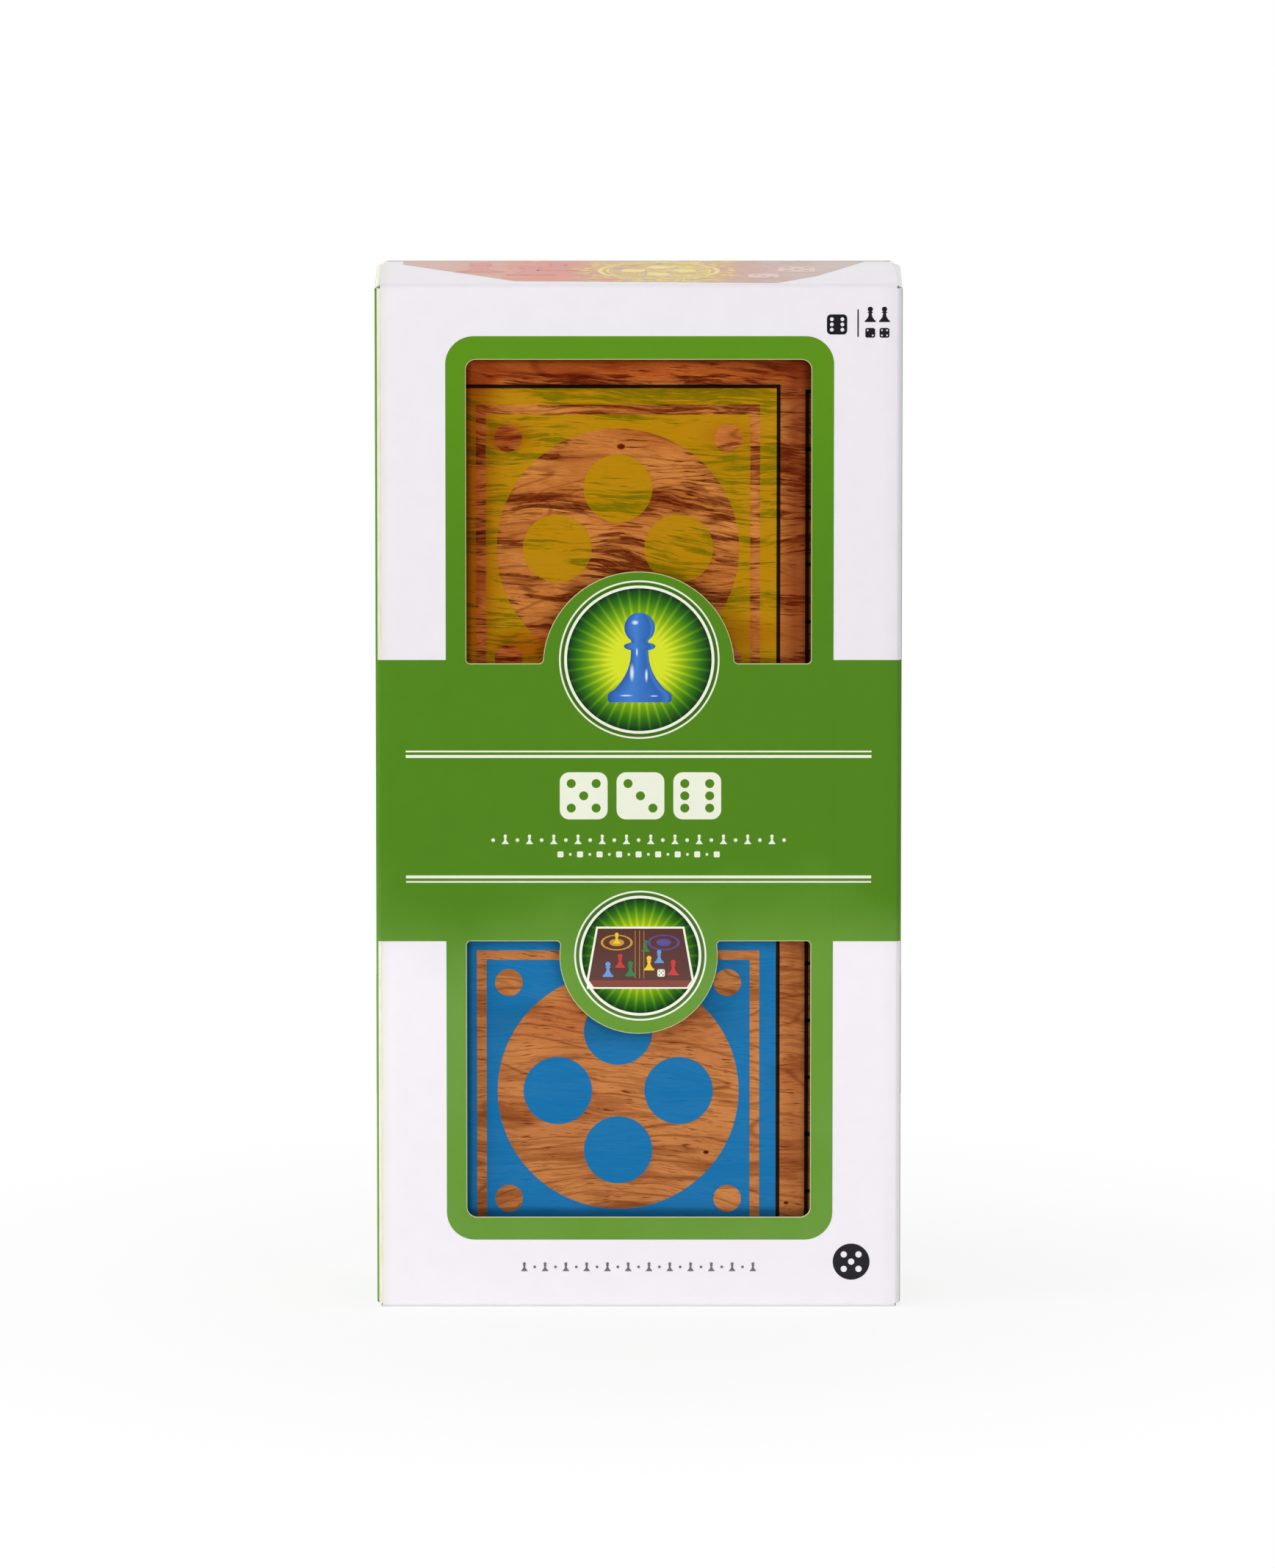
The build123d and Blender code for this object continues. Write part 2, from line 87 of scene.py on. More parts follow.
# ---------------------------------------------------------------- settings
def colour(name, description, code):
    """A colour setting whose default is an sRGB hex value."""
    return FloatVectorProperty(
        name=name, description=description, subtype="COLOR", size=3, min=0, max=1, default=linear(code)
    )


def length(name, description, millimetres):
    """A length setting whose default is given in millimetres."""
    return FloatProperty(
        name=name, description=description, subtype="DISTANCE", unit="LENGTH", min=0, default=millimetres * MM
    )


def angle(name, description, degrees):
    """An angle setting whose default is given in degrees."""
    return FloatProperty(name=name, description=description, subtype="ANGLE", default=math.radians(degrees))


class CartonPrint(bpy.types.PropertyGroup):
    """Colours and sizes of the carton's print."""

    white: colour("White", "Coated side of the board", "#EDE8EE")
    # the lit green: the frame's top, and the band and frame where the painted light lies on the lowest third
    green: colour("Green", "Window frame at its top, and the ink where the bloom lies on it", "#5A8E14")
    # the same green in painted shade, on the band and on the frame around the wall's middle
    shaded_green: colour("Band green", "Deeper ink of the band and around the wall's middle", "#4F8317")
    cut_edge: colour("Cut edge", "Paper core along the cut edges", "#D0CC9C")
    inside: colour("Inside", "Uncoated side of the board", "#B9B3A6")
    black: colour("Black", "Icons", "#141217")
    grey: colour("Grey", "Small ornament below the windows", "#5E5C60")
    frame_side: length("Frame side", "Middle of the print to the side of the green frame", 57.45)
    frame_low: length("Frame bottom", "Floor to the bottom of the green frame", 20.5)
    frame_high: length("Frame top", "Floor to the top of the green frame", 292.6)
    frame_corner: length("Frame corner", "Corner radius of the green frame", 8.4)
    band_low: length("Band bottom", "Floor to the lower edge of the band", 110.95)
    band_high: length("Band top", "Floor to the upper edge of the band", 195.7)
    rule_reach: length("Rule reach", "Half the length of the white rules", 69.1)
    print_shift: length("Print shift", "How far the print sits right of the die-cut sheet", 0.3)


class BoardPrint(bpy.types.PropertyGroup):
    """Colours and sizes of the ludo board printed on the case."""

    yellow: colour("Yellow", "Screen ink of one base", "#B68400")
    blue: colour("Blue", "Screen ink of one base", "#0076B2")
    red: colour("Red", "Screen ink of one base", "#A82418")
    green: colour("Green", "Screen ink of one base", "#24702C")
    line: colour("Line", "Screen ink of the lines", "#0C0504")
    base_offset: length("Base offset", "Middle of the board to the middle of a base", 81.6)
    base_half: length("Base half", "Half the side of a base", 47.5)
    stripe_half: length("Stripe half", "Half the side of the bare square in a base", 40.6)
    stripe_width: length("Stripe width", "Width of the bare square's line", 2.9)
    ring_radius: length("Ring radius", "Bare disc in a base", 35.9)
    spot_radius: length("Spot radius", "Four spots where the men wait", 10.2)
    spot_reach: length("Spot reach", "Middle of a base to the middle of a spot", 18.0)
    dot_radius: length("Dot radius", "Bare dots in a base's corners", 4.1)
    dot_reach: length("Dot reach", "Middle of a base to a corner dot, along each side", 32.5)
    arm_half: length("Arm half", "Half the width of the track's arms", 25.6)
    line_width: length("Line width", "Width of the printed lines", 1.1)


class WoodFinish(bpy.types.PropertyGroup):
    """Colours and grain of the wood."""

    light: colour("Light wood", "Pale ground of the veneer", "#DC914A")
    dark: colour("Dark wood", "Dark streaks of the veneer", "#5C1A02")
    rail: colour("Rail", "Ground of the solid rails", "#B0743F")
    streak_length: length("Streak length", "Typical length of a dark streak", 14)
    streak_width: length("Streak width", "Typical width of a dark streak", 0.95)


class StageSetup(bpy.types.PropertyGroup):
    """Camera and light."""

    azimuth: angle("Azimuth", "Camera's turn from straight ahead", 0.0)
    elevation: angle("Elevation", "Camera's height angle", 9.752)
    distance: length("Distance", "Camera to the front of the carton", 4600)
    lens: FloatProperty(name="Lens", description="Focal length in millimetres", min=1, default=355.83)
    lamp_level: FloatProperty(name="Lamp level", description="Share of full power", min=0, default=0.9)


# ---------------------------------------------------------------- materials
def add(tree, kind, inputs=(), out=None, stops=(), **settings):
    """Adds a node with its settings and colour stops, sets or links its inputs, and returns one output."""
    node = tree.nodes.new("ShaderNode" + kind)
    for name, value in settings.items():
        setattr(node, name, value)
    for index, (place, code) in enumerate(stops):
        elements = node.color_ramp.elements
        element = elements[index] if index < 2 else elements.new(place)
        element.position, element.color = place, (*linear(code), 1)
    pairs = inputs.items() if isinstance(inputs, dict) else enumerate(inputs)
    for key, value in pairs:
        socket = node.inputs[key]
        if isinstance(value, bpy.types.NodeSocket):
            tree.links.new(value, socket)
        elif socket.type == "RGBA" and len(value) == 3:
            socket.default_value = (*value, 1)
        else:
            socket.default_value = value
    if out:
        return node.outputs[out]
    return next((socket for socket in node.outputs if socket.enabled), None)


def start(name):
    """A new material with an empty node tree; returns both."""
    material = bpy.data.materials.new(name)
    material.use_nodes = True
    material.node_tree.nodes.clear()
    return material, material.node_tree


def finish(material, base, roughness, normal, ior=1.5, metallic=0.0):
    """Ends a material in a principled shader and returns it."""
    tree = material.node_tree
    inputs = {"Base Color": base, "Roughness": roughness, "Normal": normal, "IOR": ior, "Metallic": metallic}
    add(tree, "OutputMaterial", {"Surface": add(tree, "BsdfPrincipled", inputs)})
    return material


def position(tree):
    """The place on the object, in metres, and its x, y and z."""
    where = add(tree, "TexCoord", out="Object")
    return where, *add(tree, "SeparateXYZ", (where,)).node.outputs


def cells(tree, size, detail=2.0, roughness=0.5, distortion=0.0, source=None):
    """Cloudy pattern whose cells measure size = (x, y, z) millimetres on the object."""
    source = source or add(tree, "TexCoord", out="Object")
    scaled = add(tree, "Mapping", {"Vector": source, "Scale": [1 / (s * MM) for s in size]})
    shape = {"Detail": detail, "Roughness": roughness, "Distortion": distortion}
    return add(tree, "TexNoise", {"Vector": scaled, "Scale": 1.0, **shape})


def nearness(tree, where, middle, reach, fade, depth):
    """How near a place is to a spot on a wall: depth in the spot, nought outside it.

    middle and reach are (x, z) in millimetres; it fades out between two distances in shares of the reach.
    """
    arm = add(tree, "VectorMath", (where, (middle[0] * MM, 0, middle[1] * MM)), operation="SUBTRACT")
    shares = (1 / (reach[0] * MM), 0, 1 / (reach[1] * MM))
    flat = add(tree, "VectorMath", (arm, shares), operation="MULTIPLY")
    distance = add(tree, "VectorMath", (flat,), operation="LENGTH", out="Value")
    return add(tree, "MapRange", (distance, *fade, 0, depth), interpolation_type="SMOOTHSTEP")


SHEET_ROUGHNESS = 0.38
SHEET_IOR = 1.2  # under a coating's usual 1.5, because the satin gloss is faint
# painted light on the sheet's lowest third: it is lighter there, under a pale haze of painted reflection,
# with a cloudy upper edge
PAINTED_LIGHT_CELL = (38, 38, 30)  # millimetres
PAINTED_LIGHT_EDGE = (0.158, 0.124)  # metres above the floor, before the clouds break it up
PAINTED_LIGHT_LIFT = 0.11  # how much lighter the sheet is in it
PAINTED_REFLECTION_HAZE = (0.028, 0.052)  # least and most share of a pale haze over it


def painted_light_share(tree):
    """How far the painted light, which makes the sheet's lowest third paler, has set in, from nought to one.
    """
    z = position(tree)[3]
    edge = add(tree, "Math", (cells(tree, PAINTED_LIGHT_CELL), 0.05, z), operation="MULTIPLY_ADD")
    return add(tree, "MapRange", (edge, *PAINTED_LIGHT_EDGE, 0, 1), interpolation_type="SMOOTHSTEP")


def sheet_tone(tree, base, painted_haze_share=1.0):
    """Unevenness of a coated sheet: soft clouds, and painted light on its lowest third, which lifts its tone
    under a haze of painted reflection; that haze is the last argument times as strong as on other sheets.
    """
    low = painted_light_share(tree)
    clouds = add(tree, "MapRange", (cells(tree, (7, 7, 7), detail=3), 0.3, 0.7, 0.99, 1.01))
    level = add(tree, "Math", (low, PAINTED_LIGHT_LIFT, clouds), operation="MULTIPLY_ADD")
    toned = add(tree, "VectorMath", {0: base, "Scale": level}, operation="SCALE")
    least, most = (share * painted_haze_share for share in PAINTED_REFLECTION_HAZE)
    strength = add(tree, "MapRange", (cells(tree, PAINTED_LIGHT_CELL), 0.35, 0.65, least, most))
    haze = add(tree, "Math", (low, strength), operation="MULTIPLY")
    return add(tree, "Mix", {0: haze, 6: toned, 7: linear("#F6F4F2")}, data_type="RGBA")


def finish_sheet(material, base, form=0.0, roughness=SHEET_ROUGHNESS):
    """Ends a material of the carton with the sheet's satin gloss, and returns it.

    Its relief has ripples and a tooth of 0.6 mm, drawn coarser than the real one so that it shows. form is a
    height of its own on top of them, in millimetres.
    """
    tree = material.node_tree
    tooth = cells(tree, (0.6, 0.6, 0.6), detail=3)
    ripples = cells(tree, (16, 16, 22), detail=1)
    height = add(tree, "Math", (tooth, 0.004, form), operation="MULTIPLY_ADD")
    height = add(tree, "Math", (ripples, 0.08, height), operation="MULTIPLY_ADD")
    relief = add(tree, "Bump", {"Strength": 1.0, "Distance": MM, "Height": height})
    return finish(material, base, roughness, relief, SHEET_IOR)


# how far from a crease the sheet starts to roll over, across and up, and how deep it dips, in millimetres
ROLL_ACROSS, ROLL_UP, ROLL_DEPTH = 6, 8, 0.35


def off(tree, value, middle):
    """How far a value lies from the middle."""
    arm = add(tree, "Math", (value, middle), operation="SUBTRACT")
    return add(tree, "Math", (arm,), operation="ABSOLUTE")


def between(tree, value, low, high):
    """One where a value lies between two others, and nought elsewhere."""
    return add(tree, "Math", (off(tree, value, (low + high) / 2), (high - low) / 2), operation="LESS_THAN")


def green_share(tree):
    """One where the board is green: on the band, which runs round all walls, and on the side walls."""
    look = bpy.context.scene.carton_print
    _, x, _, z = position(tree)
    across, _, top = CAD_BOX[1]
    band = between(tree, z, look.band_low, look.band_high)
    # the side walls' print sits 0.25 mm off the creases' middle
    side = add(tree, "Math", (off(tree, x, 0.25 * MM), across - 0.4 * MM), operation="GREATER_THAN")
    side = add(tree, "Math", (side, between(tree, z, 1.3 * MM, top - 1.3 * MM)), operation="MULTIPLY")
    return add(tree, "Math", (band, side), operation="MAXIMUM")


def wear_and_shade_share(tree):
    """How far the left creases are worn pale next to the green, in a broken line, and how far painted warm
    shade tints the sheet beside them, fading out over 5 mm.
    """
    x = position(tree)[1]
    crease = CAD_BOX[0][0]
    rubbed_and_shaded = add(tree, "MapRange", (off(tree, x, crease + 1.2 * MM), 1.0 * MM, 0.5 * MM, 0, 0.6))
    patchy = add(tree, "MapRange", (cells(tree, (1, 1, 5), detail=3), 0.3, 0.6, 0.5, 1.0))
    rubbed_and_shaded = add(tree, "Math", (rubbed_and_shaded, patchy), operation="MULTIPLY")
    # painted shade: a soft, warm darkening within 5 mm of the crease
    from_crease = off(tree, x, crease)
    haze = add(tree, "MapRange", (from_crease, 5 * MM, 0.5 * MM, 0, 0.3), interpolation_type="SMOOTHSTEP")
    return add(tree, "Math", (rubbed_and_shaded, haze), operation="MAXIMUM")


def core_share(tree):
    """One around the front wall's windows, where cut edges are bare and the print stops short of them."""
    look = bpy.context.scene.carton_print
    _, x, y, z = position(tree)
    inset = 3 * MM  # the green frame covers what lies further out
    side = look.frame_side - inset
    core = add(tree, "Math", (y, CAD_BOX[0][1] + 0.7 * MM), operation="LESS_THAN")
    for within in (
        between(tree, x, -side, side), between(tree, z, look.frame_low + inset, look.frame_high - inset),
    ):
        core = add(tree, "Math", (core, within), operation="MULTIPLY")
    return core


def make_carton_board():
    """Clay-coated folding boxboard, offset printed, raw and greyer on its inside.

    The coating gives a satin gloss; cut edges show the paper's cream core, and creases round the sheet off.
    """
    look = bpy.context.scene.carton_print
    material, tree = start("clay_coated_boxboard")
    where, x, _, z = position(tree)
    normal = add(tree, "TexCoord", out="Normal")
    low, high = CAD_BOX
    across, half_height = high[0], high[2] / 2

    # the left creases worn pale, with painted shade beside them
    white = add(tree, "Mix", {0: wear_and_shade_share(tree), 6: look.white, 7: look.cut_edge}, data_type="RGBA")
    # painted shade: the band and side walls take the shaded green, except under the painted light low down
    green = add(tree, "Mix", {0: painted_light_share(tree), 6: look.shaded_green, 7: look.green}, data_type="RGBA")
    sheet = add(tree, "Mix", {0: green_share(tree), 6: white, 7: green}, data_type="RGBA")
    sheet = add(tree, "Mix", {0: core_share(tree), 6: sheet, 7: look.cut_edge}, data_type="RGBA")
    # inward faces are bare
    centre = [(a + b) / 2 for a, b in zip(low, high)]
    arm = add(tree, "VectorMath", (where, centre), operation="SUBTRACT")
    outward = add(tree, "VectorMath", (arm, normal), operation="DOT_PRODUCT", out="Value")
    outside = add(tree, "Math", (outward, 0.0), operation="GREATER_THAN")
    sheet = add(tree, "Mix", {0: outside, 6: look.inside, 7: sheet}, data_type="RGBA")
    # the sheet rolls over gently before each crease, and painted shade darkens it a little towards the side
    # creases
    roll_x = add(tree, "MapRange", (off(tree, x, 0), across - ROLL_ACROSS * MM, across, 0, 1))
    from_middle = off(tree, z, half_height)
    roll_z = add(tree, "MapRange", (from_middle, half_height - ROLL_UP * MM, half_height, 0, 1))
    roll = add(tree, "Math", (roll_z, 2.0), operation="POWER")
    roll = add(tree, "Math", (roll_x, roll_x, roll), operation="MULTIPLY_ADD")
    facing = off(tree, add(tree, "SeparateXYZ", (normal,), out="Y"), 0)
    flat = add(tree, "Math", (facing, 0.9), operation="GREATER_THAN")
    form = add(tree, "Math", (roll, flat), operation="MULTIPLY")
    form = add(tree, "Math", (form, -ROLL_DEPTH), operation="MULTIPLY")
    shade = add(tree, "MapRange", (roll_x, 0, 1, 1.0, 0.98))
    sheet = add(tree, "VectorMath", {0: sheet, "Scale": shade}, operation="SCALE")
    return finish_sheet(material, sheet_tone(tree, sheet), form)


def make_print(name, base, painted_haze_share=1.0):
    """Offset ink on coated board: its colour, a soft mottle, the painted light and painted reflection on the
    sheet's lowest third, and the sheet's satin gloss.
    """
    material, tree = start(name)
    return finish_sheet(material, sheet_tone(tree, list(base), painted_haze_share))


def make_frame_print(name, base, middle):
    """Offset ink as on the band: painted shade deepens it from the wall's top towards its middle, and the
    painted light on the lowest third lifts it again.
    """
    material, tree = start(name)
    # painted shade deepens the ink from the top towards the middle, and the painted light low down takes it
    # away
    painted_shade_share = add(tree, "MapRange", (position(tree)[3], 0.295, 0.2, 0, 1), interpolation_type="SMOOTHSTEP")
    clear = add(tree, "Math", (1.0, painted_light_share(tree)), operation="SUBTRACT")
    share = add(tree, "Math", (painted_shade_share, clear), operation="MULTIPLY")
    ink = add(tree, "Mix", {0: share, 6: base, 7: middle}, data_type="RGBA")
    return finish_sheet(material, sheet_tone(tree, ink))


BURST_TONES = (
    (0.33, "#D6E02C"), (0.50, "#A9C41A"), (0.66, "#6CA010"),
    (0.82, "#32700F"), (0.93, "#184A10"), (0.99, "#0E2A0E"),
)


def make_burst(name, centre, radius, rays):
    """Printed disc that glows from a yellow core to a dark green rim, with fine pale rays."""
    material, tree = start(name)
    where = position(tree)[0]
    arm = add(tree, "VectorMath", (where, (centre[0] * MM, 0, centre[1] * MM)), operation="SUBTRACT")
    flat = add(tree, "VectorMath", (arm, (1, 0, 1)), operation="MULTIPLY")
    reach = add(tree, "VectorMath", (flat,), operation="LENGTH", out="Value")
    share = add(tree, "Math", (reach, radius * MM), operation="DIVIDE")
    x, _, z = add(tree, "SeparateXYZ", (flat,)).node.outputs
    turn = add(tree, "Math", (z, x), operation="ARCTAN2")
    nearest = add(tree, "Math", (turn, math.pi / rays), operation="PINGPONG")
    aside = add(tree, "Math", (nearest, reach), operation="MULTIPLY")
    ray = add(tree, "MapRange", (aside, 0.7 * MM, 0.0, 0, 1), interpolation_type="SMOOTHSTEP")
    strength = add(tree, "MapRange", (share, 0.99, 0.5, 0.08, 0.15))
    lit = add(tree, "Math", (ray, strength), operation="MULTIPLY")
    fall = add(tree, "Math", (share, lit), operation="SUBTRACT")
    return finish_sheet(material, add(tree, "ValToRGB", (fall,), stops=BURST_TONES))


def make_streaky_picture(name, axis, low, high, stops, scale, spread=0.16):
    """Printed picture of soft streaks: its colours run from low to high along an axis and are broken up."""
    material, tree = start(name)
    place = add(tree, "SeparateXYZ", (add(tree, "TexCoord", out="Object"),), out=axis)
    drift = cells(tree, scale, detail=4, roughness=0.65, distortion=1.2)
    drift = add(tree, "MapRange", (drift, 0.3, 0.7, -spread, spread))
    share = add(tree, "MapRange", (place, low * MM, high * MM, 0, 1))
    moved = add(tree, "Math", (share, drift), operation="ADD")
    return finish_sheet(material, add(tree, "ValToRGB", (moved,), stops=stops), roughness=0.5)


MAN_TONES = (
    (0.0, "#24509C"), (0.10, "#3468B8"), (0.34, "#4480CC"), (0.55, "#3A72C0"),
    (0.82, "#2D62B0"), (0.93, "#3F78C6"), (1.0, "#24509C"),
)
# soft lights on the printed man: place across and up, and reach across and up, in shares of his height
MAN_LIGHTS = (
    (-0.085, 0.33, 0.026, 0.10), (0.075, 0.30, 0.018, 0.08), (-0.05, 0.89, 0.040, 0.028),
    (-0.15, 0.075, 0.075, 0.010), (0.16, 0.07, 0.05, 0.008), (-0.03, 0.56, 0.012, 0.05),
)


def make_shaded_man(name, foot, height, profile):
    """Printed picture of a glossy turned man: dark flanks, a lit middle and soft window lights."""
    material, tree = start(name)
    where, x, _, z = position(tree)
    rise = add(tree, "MapRange", (z, foot[1] * MM, (foot[1] + height) * MM, 0, 1))
    width = add(tree, "FloatCurve", {"Factor": 1.0, "Value": rise})
    points = width.node.mapping.curves[0].points
    steps = sorted({round(v, 4): w for w, v in profile}.items())
    points[0].location, points[-1].location = steps[0], (1.0, 0.02)
    for place in steps[1:-1]:
        points.new(*place)
    for point in points:
        point.handle_type = "VECTOR"
    width.node.mapping.update()
    wide = add(tree, "Math", (width, height * MM), operation="MULTIPLY")
    aside = add(tree, "Math", (x, foot[0] * MM), operation="SUBTRACT")
    aside = add(tree, "Math", (aside, wide), operation="DIVIDE")
    base = add(tree, "ValToRGB", (add(tree, "MapRange", (aside, -1, 1, 0, 1)),), stops=MAN_TONES)
    for across, up, *reach in MAN_LIGHTS:
        middle = (foot[0] + across * height, foot[1] + up * height)
        light = nearness(tree, where, middle, [share * height for share in reach], (1.2, 0.2), 0.85)
        base = add(tree, "Mix", {0: light, 6: base, 7: linear("#E8F0FF")}, data_type="RGBA")
    return finish_sheet(material, base)


# the veneer's figure grows from the lower window to the upper one, between these heights
FIGURE_RISE = (0.112, 0.196)
KNOTS = ((-5.2, 259.1, 1.0), (20.1, 46.4, 0.7), (44.0, 31.0, 0.6))  # x, z and size in millimetres
# feathered dark brushes of grain: middle x and z, reach along and across, in millimetres, and depth of tone
BRUSHES = (
    (21, 285.5, 12, 2.2, 1.0), (37, 282.5, 13, 2.6, 0.9), (-39, 262, 9, 4.5, 0.8), (24, 252, 12, 2, 0.6),
)


def bent_grain(tree):
    """The place on the object, moved as the grain is bent: it falls a little to the right and wanders."""
    where, x = position(tree)[:2]
    wander = add(tree, "MapRange", (cells(tree, (60, 60, 26), detail=1), 0.2, 0.8, -4 * MM, 4 * MM))
    ripple = add(tree, "MapRange", (cells(tree, (14, 60, 7), detail=1), 0.2, 0.8, -0.8 * MM, 0.8 * MM))
    fall = add(tree, "Math", (x, 0.06, wander), operation="MULTIPLY_ADD")
    fall = add(tree, "Math", (fall, ripple), operation="ADD")
    return add(tree, "VectorMath", (where, add(tree, "CombineXYZ", {"Z": fall})), operation="ADD")


def veneer_marks(tree, run, width, bent, bundles, fibres):
    """How dark the veneer's marks are: bundles of streaks, densest above, fine pores, knots and brushes."""
    where, x, _, z = position(tree)
    streaks = cells(tree, (run, 40, width), detail=3, roughness=0.6, distortion=0.3, source=bent)
    hairs = cells(tree, (run * 0.6, 60, width * 0.5), roughness=0.6, source=bent)
    pores = cells(tree, (6, 20, 0.45), roughness=0.6, source=bent)
    # the strip along the upper rail is almost plain on the left
    plain = add(tree, "MapRange", (x, -0.015, 0.0, 0.85, 0.0))
    plain = add(tree, "Math", (plain, add(tree, "MapRange", (z, 0.2805, 0.282, 0, 1))), operation="MULTIPLY")
    lively = add(tree, "Math", (1.0, plain), operation="SUBTRACT")
    figured = add(tree, "MapRange", (z, *FIGURE_RISE, 0.4, 1.0))
    figured = add(tree, "Math", (figured, lively), operation="MULTIPLY")
    threshold = add(tree, "MapRange", (bundles, 0.34, 0.62, 0.63, 0.44))
    over = add(tree, "Math", (streaks, threshold), operation="SUBTRACT")
    streak = add(tree, "MapRange", (over, -0.015, 0.055, 0, 1))
    over = add(tree, "Math", (hairs, threshold), operation="SUBTRACT")
    hair = add(tree, "MapRange", (over, 0.05, 0.12, 0, 0.7))
    marks = add(tree, "Math", (streak, hair), operation="MAXIMUM")
    marks = add(tree, "Math", (marks, figured), operation="MULTIPLY")
    broken = add(tree, "MapRange", (fibres, 0.36, 0.56, 0.5, 1.0))
    marks = add(tree, "Math", (marks, broken), operation="MULTIPLY")
    pore = add(tree, "MapRange", (pores, 0.58, 0.7, 0, 1))
    fewer = add(tree, "MapRange", (z, *FIGURE_RISE, 0.9, 0.35))
    pore = add(tree, "Math", (pore, fewer), operation="MULTIPLY")
    dark = add(tree, "Math", (marks, pore), operation="MAXIMUM")
    for *middle, size in KNOTS:
        knot = nearness(tree, where, middle, (size / 0.7, size), (1.1, 0.6), 1)
        dark = add(tree, "Math", (dark, knot), operation="MAXIMUM")
    feathered = add(tree, "MapRange", (streaks, 0.42, 0.56, 0.25, 1.0))
    for *spot, depth in BRUSHES:
        brush = nearness(tree, where, spot[:2], spot[2:], (1.15, 0.3), depth)
        brush = add(tree, "Math", (brush, feathered), operation="MULTIPLY")
        dark = add(tree, "Math", (dark, brush), operation="MAXIMUM")
    return dark


def veneer_ground(tree, bent, bundles, fibres):
    """The veneer's ground: pale fibres under clouds, soft belts and the flames of slanting growth rings."""
    look = bpy.context.scene.wood_finish
    _, x, _, z = position(tree)
    rings = add(tree, "Math", (cells(tree, (110, 80, 20), detail=1, source=bent), 15.0), operation="MULTIPLY")
    rings = add(tree, "Math", (rings, 0.5), operation="PINGPONG")
    flame = add(tree, "MapRange", (rings, 0.38, 0.5, 0, 0.6), interpolation_type="SMOOTHSTEP")
    fine = add(tree, "MapRange", (fibres, 0.3, 0.7, 0, 1))
    cloudy = add(tree, "MapRange", (cells(tree, (30, 60, 9), source=bent), 0.38, 0.68, 0, 0.6))
    calm = add(tree, "MapRange", (z, *FIGURE_RISE, 0.5, 0.0))
    belt = add(tree, "MapRange", (bundles, 0.5, 0.66, 0, 0.38), interpolation_type="SMOOTHSTEP")
    # the strip along the hinges is darker and redder, more so in the upper window
    strip = add(tree, "MapRange", (x, 0.039, 0.046, 0.0, 1.0))
    redder = add(tree, "MapRange", (z, *FIGURE_RISE, 0.4, 0.85))
    strip = add(tree, "Math", (strip, redder), operation="MULTIPLY")
    wood = add(tree, "Mix", {0: fine, 6: linear("#B06628"), 7: look.light}, data_type="RGBA")
    for share, code in (
        (cloudy, "#9C4A12"), (calm, "#D28B57"), (belt, "#8E3E14"), (flame, "#84401A"), (strip, "#843E1A"),
    ):
        wood = add(tree, "Mix", {0: share, 6: wood, 7: linear(code)}, data_type="RGBA")
    return wood


def veneer_colour(tree):
    """Figured veneer with its grain along X: its colour, how dark it is there, and a height for the bump."""
    look = bpy.context.scene.wood_finish
    run, width = look.streak_length / MM, look.streak_width / MM
    bent = bent_grain(tree)
    bundles = cells(tree, (run * 2.2, 60, width * 8), source=bent)
    fibres = cells(tree, (run * 0.3, 30, 0.4), detail=4, roughness=0.75, source=bent)
    dark = veneer_marks(tree, run, width, bent, bundles, fibres)
    wood = veneer_ground(tree, bent, bundles, fibres)
    return add(tree, "Mix", {0: dark, 6: wood, 7: look.dark}, data_type="RGBA"), dark, fibres


# darker patches of the veneer: middle x and z, reach across and up, in millimetres, and depth of tone
PATCHES = (
    (-41, 262, 11, 6, 0.85), (27, 262, 11, 6, 0.4), (30, 285, 34, 5, 0.55), (-31, 199, 20, 7, 0.9),
    (32, 203, 18, 5, 0.4), (-8, 86, 46, 9, 0.4), (46, 70, 9, 6, 0.3),
)
WOOD_IOR = 1.09  # far under a varnish's usual 1.5, because this one is thin and mirrors hardly anything


